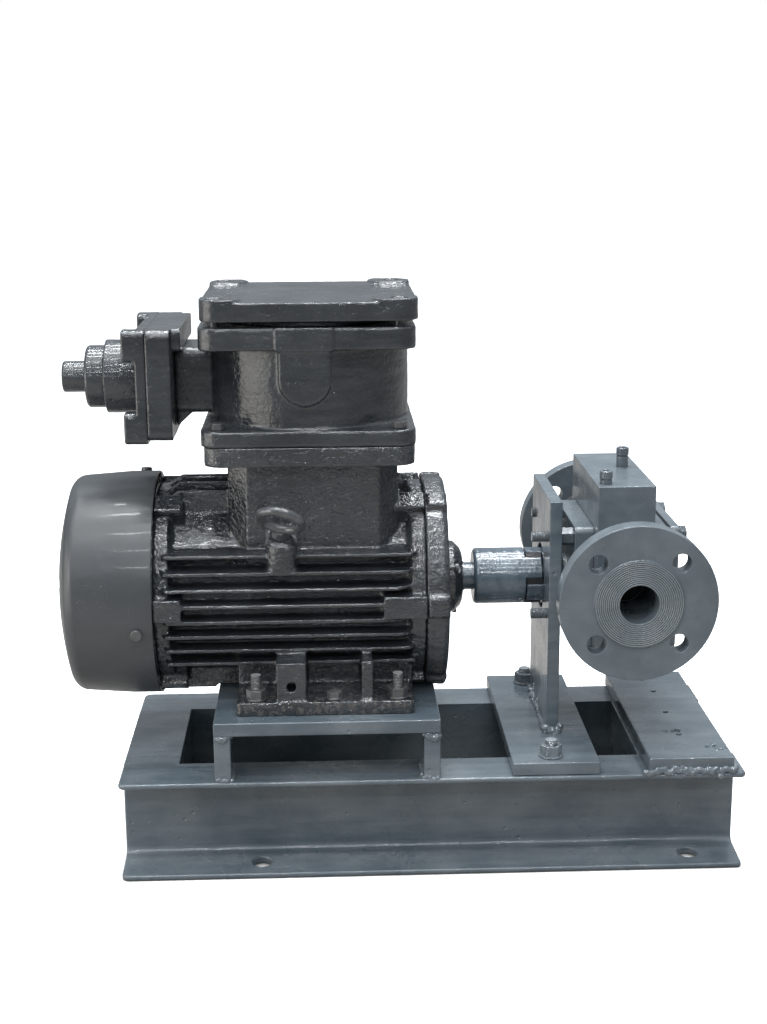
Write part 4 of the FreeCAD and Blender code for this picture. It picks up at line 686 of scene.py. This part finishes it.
screw_thread = pattern(
    "screw_thread",
    thread_relief,
    ("Axis", "NodeSocketVector"),
    ("Pitch", "NodeSocketFloat"),
    ("From", "NodeSocketFloat"),
    ("To", "NodeSocketFloat"),
)


def machined(material, name, relief, depth, crest, settings):
    """The same finish with a machined pattern in its surface, its crests painted lighter as a highlight."""
    cut = material.copy()
    cut.name = name
    new, link = cut.node_tree.nodes.new, cut.node_tree.links.new
    marks = new("ShaderNodeGroup")
    marks.node_tree = relief
    for socket, value in settings.items():
        marks.inputs[socket].default_value = value
    surface = cut.node_tree.nodes["Principled BSDF"]
    # Painted highlight: the base colour is mixed toward a lighter one on the crests, for the glints they
    # catch.
    crest_highlight = new("ShaderNodeMix")
    crest_highlight.data_type = "RGBA"
    crest_highlight.inputs[7].default_value = (*crest, 1)
    link(marks.outputs["Height"], crest_highlight.inputs["Factor"])
    link(surface.inputs["Base Color"].links[0].from_socket, crest_highlight.inputs[6])
    link(crest_highlight.outputs[2], surface.inputs["Base Color"])
    ridges = new("ShaderNodeBump")
    ridges.inputs["Distance"].default_value = depth
    link(marks.outputs["Height"], ridges.inputs["Height"])
    link(cut.node_tree.nodes["Bump"].outputs["Normal"], ridges.inputs["Normal"])
    link(ridges.outputs["Normal"], surface.inputs["Normal"])
    return cut


painted_steel = coated(
    "painted_steel",
    thick=(0.075, 0.092, 0.107),
    thin=(0.14, 0.16, 0.175),
    stroke=(90, 90, 90),
    lump=300,
    pit=300,
    glossy=0.13,
    dull=0.32,
    relief=0.0005,
    varnish=0.4,
)
dark_steel = coated(
    "dark_steel",
    thick=(0.035, 0.036, 0.038),
    thin=(0.1, 0.1, 0.1),
    stroke=(90, 90, 90),
    lump=300,
    pit=300,
    glossy=0.15,
    dull=0.35,
    relief=0.0005,
    varnish=0.4,
)
nut_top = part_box("foot_nuts")[1].z
upright = {"Axis": (0, 0, 1), "Pitch": 0.0015, "From": nut_top, "To": 1.0}
foot_thread = machined(dark_steel, "foot_thread", screw_thread, 0.0006, (0.2, 0.2, 0.2), upright)
dressed("foot_bolts", 0.0006, foot_thread)
dressed("foot_nuts", 0.0007, dark_steel)
dressed("earthing_screw", 0.0006, dark_steel)

# End shields: cast iron covers bolted to the lugs, the same enamel, with a cap that keeps the
# grease in the drive-end bearing.
cast("drive_end_shield", motor_enamel, 0.0014, 70000)
for node in ("drive_end_bearing_cap", "fan_end_shield"):
    dressed(node, 0.0014, motor_enamel)
dressed("end_shield_bolts", 0.0004, dark_steel)

# Fan cowl: pressed steel sheet with slots in its end, smoother than the castings and held by
# three screws.
cowl_enamel = coated(
    "cowl_enamel",
    thick=(0.042, 0.046, 0.05),
    thin=(0.056, 0.06, 0.065),
    stroke=(12, 30, 30),
    lump=45,
    pit=260,
    glossy=0.3,
    dull=0.42,
    relief=0.0005,
    varnish=0.15,
)
dressed("fan_cowl", 0.0006, cowl_enamel)
dressed("cowl_screws", 0.0007, dark_steel)

# Lifting eye: forged steel ring with a collar, screwed into the boss on the front shoulder
# and painted with the motor, in a lighter copy of its enamel that paints in the light the ring catches.
eye = bmesh.new()
eye.from_mesh(nodes["lifting_eye_bolt"].data)
bmesh.ops.remove_doubles(eye, verts=eye.verts, dist=same_point)
lit_eye_enamel = coated(
    "lit_eye_enamel",
    thick=(0.048, 0.051, 0.055),
    thin=(0.09, 0.093, 0.098),
    stroke=(120, 120, 120),
    lump=220,
    pit=200,
    glossy=0.14,
    dull=0.3,
    relief=0.0008,
    varnish=0.9,
)
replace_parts(place_piece("lifting_eye", eye, lit_eye_enamel, "pump_set"), "lifting_eye_bolt")

# Terminal box: drum between two square flanges, cast in one with its front boss; the enamel
# shows the sand texture and the brush. A lid with raised corners closes it.
box_enamel = coated(
    "box_enamel",
    thick=(0.019, 0.022, 0.0255),
    thin=(0.041, 0.045, 0.05),
    stroke=(25, 25, 130),
    lump=230,
    pit=150,
    glossy=0.12,
    dull=0.32,
    relief=0.0011,
    varnish=0.45,
)
cast("terminal_box_body", box_enamel, 0.0016, 120000)
cast("terminal_box_lid", box_enamel, 0.0015, 60000)
dressed("terminal_box_bolts", 0.0006, dark_steel)
dressed("box_cap_screws", 0.0006, dark_steel)
finish_nodes(grained("insulator", (0.16, 0.06, 0.035), (0.24, 0.1, 0.06), 300, 0.4), "terminal_block")
finish_nodes(grained("brass", (0.5, 0.34, 0.12), (0.75, 0.56, 0.25), 400, 0.25, 1.0), "terminal_studs")

# Cable entry: cast box and bolted cover in the enamel of the terminal box, with a turned
# gland body and its tube.
for node in ("cable_entry_box", "cable_entry_cover"):
    cast(node, box_enamel, 0.0013, 60000)
dressed("cable_gland", 0.0014, box_enamel)

# Coupling: two turned iron hubs with jaws, thickly painted, and a black rubber spider.
coupling_paint = coated(
    "coupling_paint",
    thick=(0.052, 0.075, 0.097),
    thin=(0.11, 0.145, 0.175),
    stroke=(120, 50, 50),
    lump=150,
    pit=200,
    glossy=0.06,
    dull=0.18,
    relief=0.0011,
    varnish=0.7,
    shine=0.55,
)
dressed("motor_coupling_hub", 0.0012, coupling_paint)
dressed("pump_coupling_hub", 0.0012, coupling_paint)
finish_nodes(coupling_paint, "motor_shaft")
black_rubber = grained("black_rubber", (0.008, 0.008, 0.009), (0.018, 0.018, 0.019), 500, 0.65)
finish_nodes(black_rubber, "coupling_spider", "shaft_seal")

# Pump bracket: upright steel plate welded to a foot plate, which two studs with nuts hold to
# the channels.
dressed("bracket_base_plate", 0.0014, frame_paint)
dressed("bracket_plate", 0.0010, frame_paint)
low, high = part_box("bracket_plate")
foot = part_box("bracket_base_plate")[1].z
for side, x in (("left", low.x), ("right", high.x)):
    seam_z = foot + 0.0005
    weld(f"bracket_{side}_weld", (x, low.y, seam_z), (x, high.y, seam_z), 0.0085, 0.22, x * 30)
weld(
    "bracket_front_weld",
    (low.x - 0.001, low.y, foot + 0.003),
    (high.x + 0.001, low.y, foot + 0.003),
    width=0.011,
    rough=0.13,
    seed=5.0,
    tall=0.005,
)
stud_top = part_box("bracket_nuts")[1].z
upright = {"Axis": (0, 0, 1), "Pitch": 0.00175, "From": stud_top, "To": 1.0}
stud_thread = machined(weld_paint, "stud_thread", screw_thread, 0.0006, (0.25, 0.28, 0.3), upright)
dressed("bracket_bolts", 0.0008, stud_thread)
dressed("bracket_nuts", 0.0008, weld_paint)

# Gear pump: thick casing between two covers, all milled from iron and brushed with the same
# grey, a dark gasket under the end cover, and tie bolts right through with nuts between.
pump_paint = coated(
    "pump_paint",
    thick=(0.086, 0.105, 0.121),
    thin=(0.125, 0.147, 0.164),
    stroke=(60, 60, 60),
    lump=80,
    pit=240,
    glossy=0.24,
    dull=0.44,
    relief=0.0006,
    varnish=0.4,
)
for node in ("pump_casing", "front_cover", "rear_cover", "end_cover"):
    dressed(node, 0.0009, pump_paint)
finish_nodes(grained("jointing", (0.02, 0.02, 0.021), (0.04, 0.04, 0.04), 600, 0.7), "end_cover_gasket")
lengthwise = {"Axis": (1, 0, 0), "Pitch": 0.0015, "From": -1.0, "To": 1.0}
tie_thread = machined(painted_steel, "tie_thread", screw_thread, 0.0005, (0.2, 0.22, 0.24), lengthwise)
dressed("tie_bolts", 0.0006, tie_thread)
dressed("tie_nuts", 0.0008, painted_steel)

# Gears and bushes: hardened steel gears in one piece with their shafts, bronze bushes, and a
# seal ring behind a painted steel retainer.
finish_nodes(ground_steel, "drive_gear_shaft", "idler_gear_shaft")
finish_nodes(painted_steel, "seal_retainer")
finish_nodes(grained("bronze", (0.35, 0.22, 0.1), (0.55, 0.38, 0.18), 300, 0.3, 1.0), "shaft_bushes")


# Port flanges: turned steel flanges on short pipes; the raised faces carry fine concentric
# grooves that hold the gasket.
def groove_relief(given, place, math_step, vector_step):
    """The crests of grooves turned round a centre."""
    flat = vector_step("MULTIPLY", place, (1.0, 0.0, 1.0))
    radius = vector_step("DISTANCE", flat, given["Centre"])
    return waves(radius, given["Pitch"], given["Inner"], given["Outer"], math_step)


face_grooves = pattern(
    "face_grooves",
    groove_relief,
    ("Centre", "NodeSocketVector"),
    ("Pitch", "NodeSocketFloat"),
    ("Inner", "NodeSocketFloat"),
    ("Outer", "NodeSocketFloat"),
)
for node in ("front_port_flange", "rear_port_flange"):
    low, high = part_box(node)
    centre = ((low.x + high.x) / 2, 0, (low.z + high.z) / 2)
    rings = {"Centre": centre, "Pitch": 0.00192, "Inner": 0.0195, "Outer": 0.0422}
    grooved = machined(pump_paint, node + "_paint", face_grooves, 0.0006, (0.3, 0.33, 0.35), rings)
    dressed(node, 0.0009, grooved)

# Relief valve: ground poppet under a coil spring, and the two painted screws over its passages.
finish_nodes(ground_steel, "relief_poppet")
coil = bmesh.new()
coil.from_mesh(nodes["relief_spring"].data)
bmesh.ops.remove_doubles(coil, verts=coil.verts, dist=same_point)
spring = place_piece("relief_spring_coil", coil, ground_steel, "pump_set")
spring.modifiers.clear()
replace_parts(spring, "relief_spring")
low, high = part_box("relief_spring")
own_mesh(spring)
dressed("relief_screws", 0.0006, painted_steel)
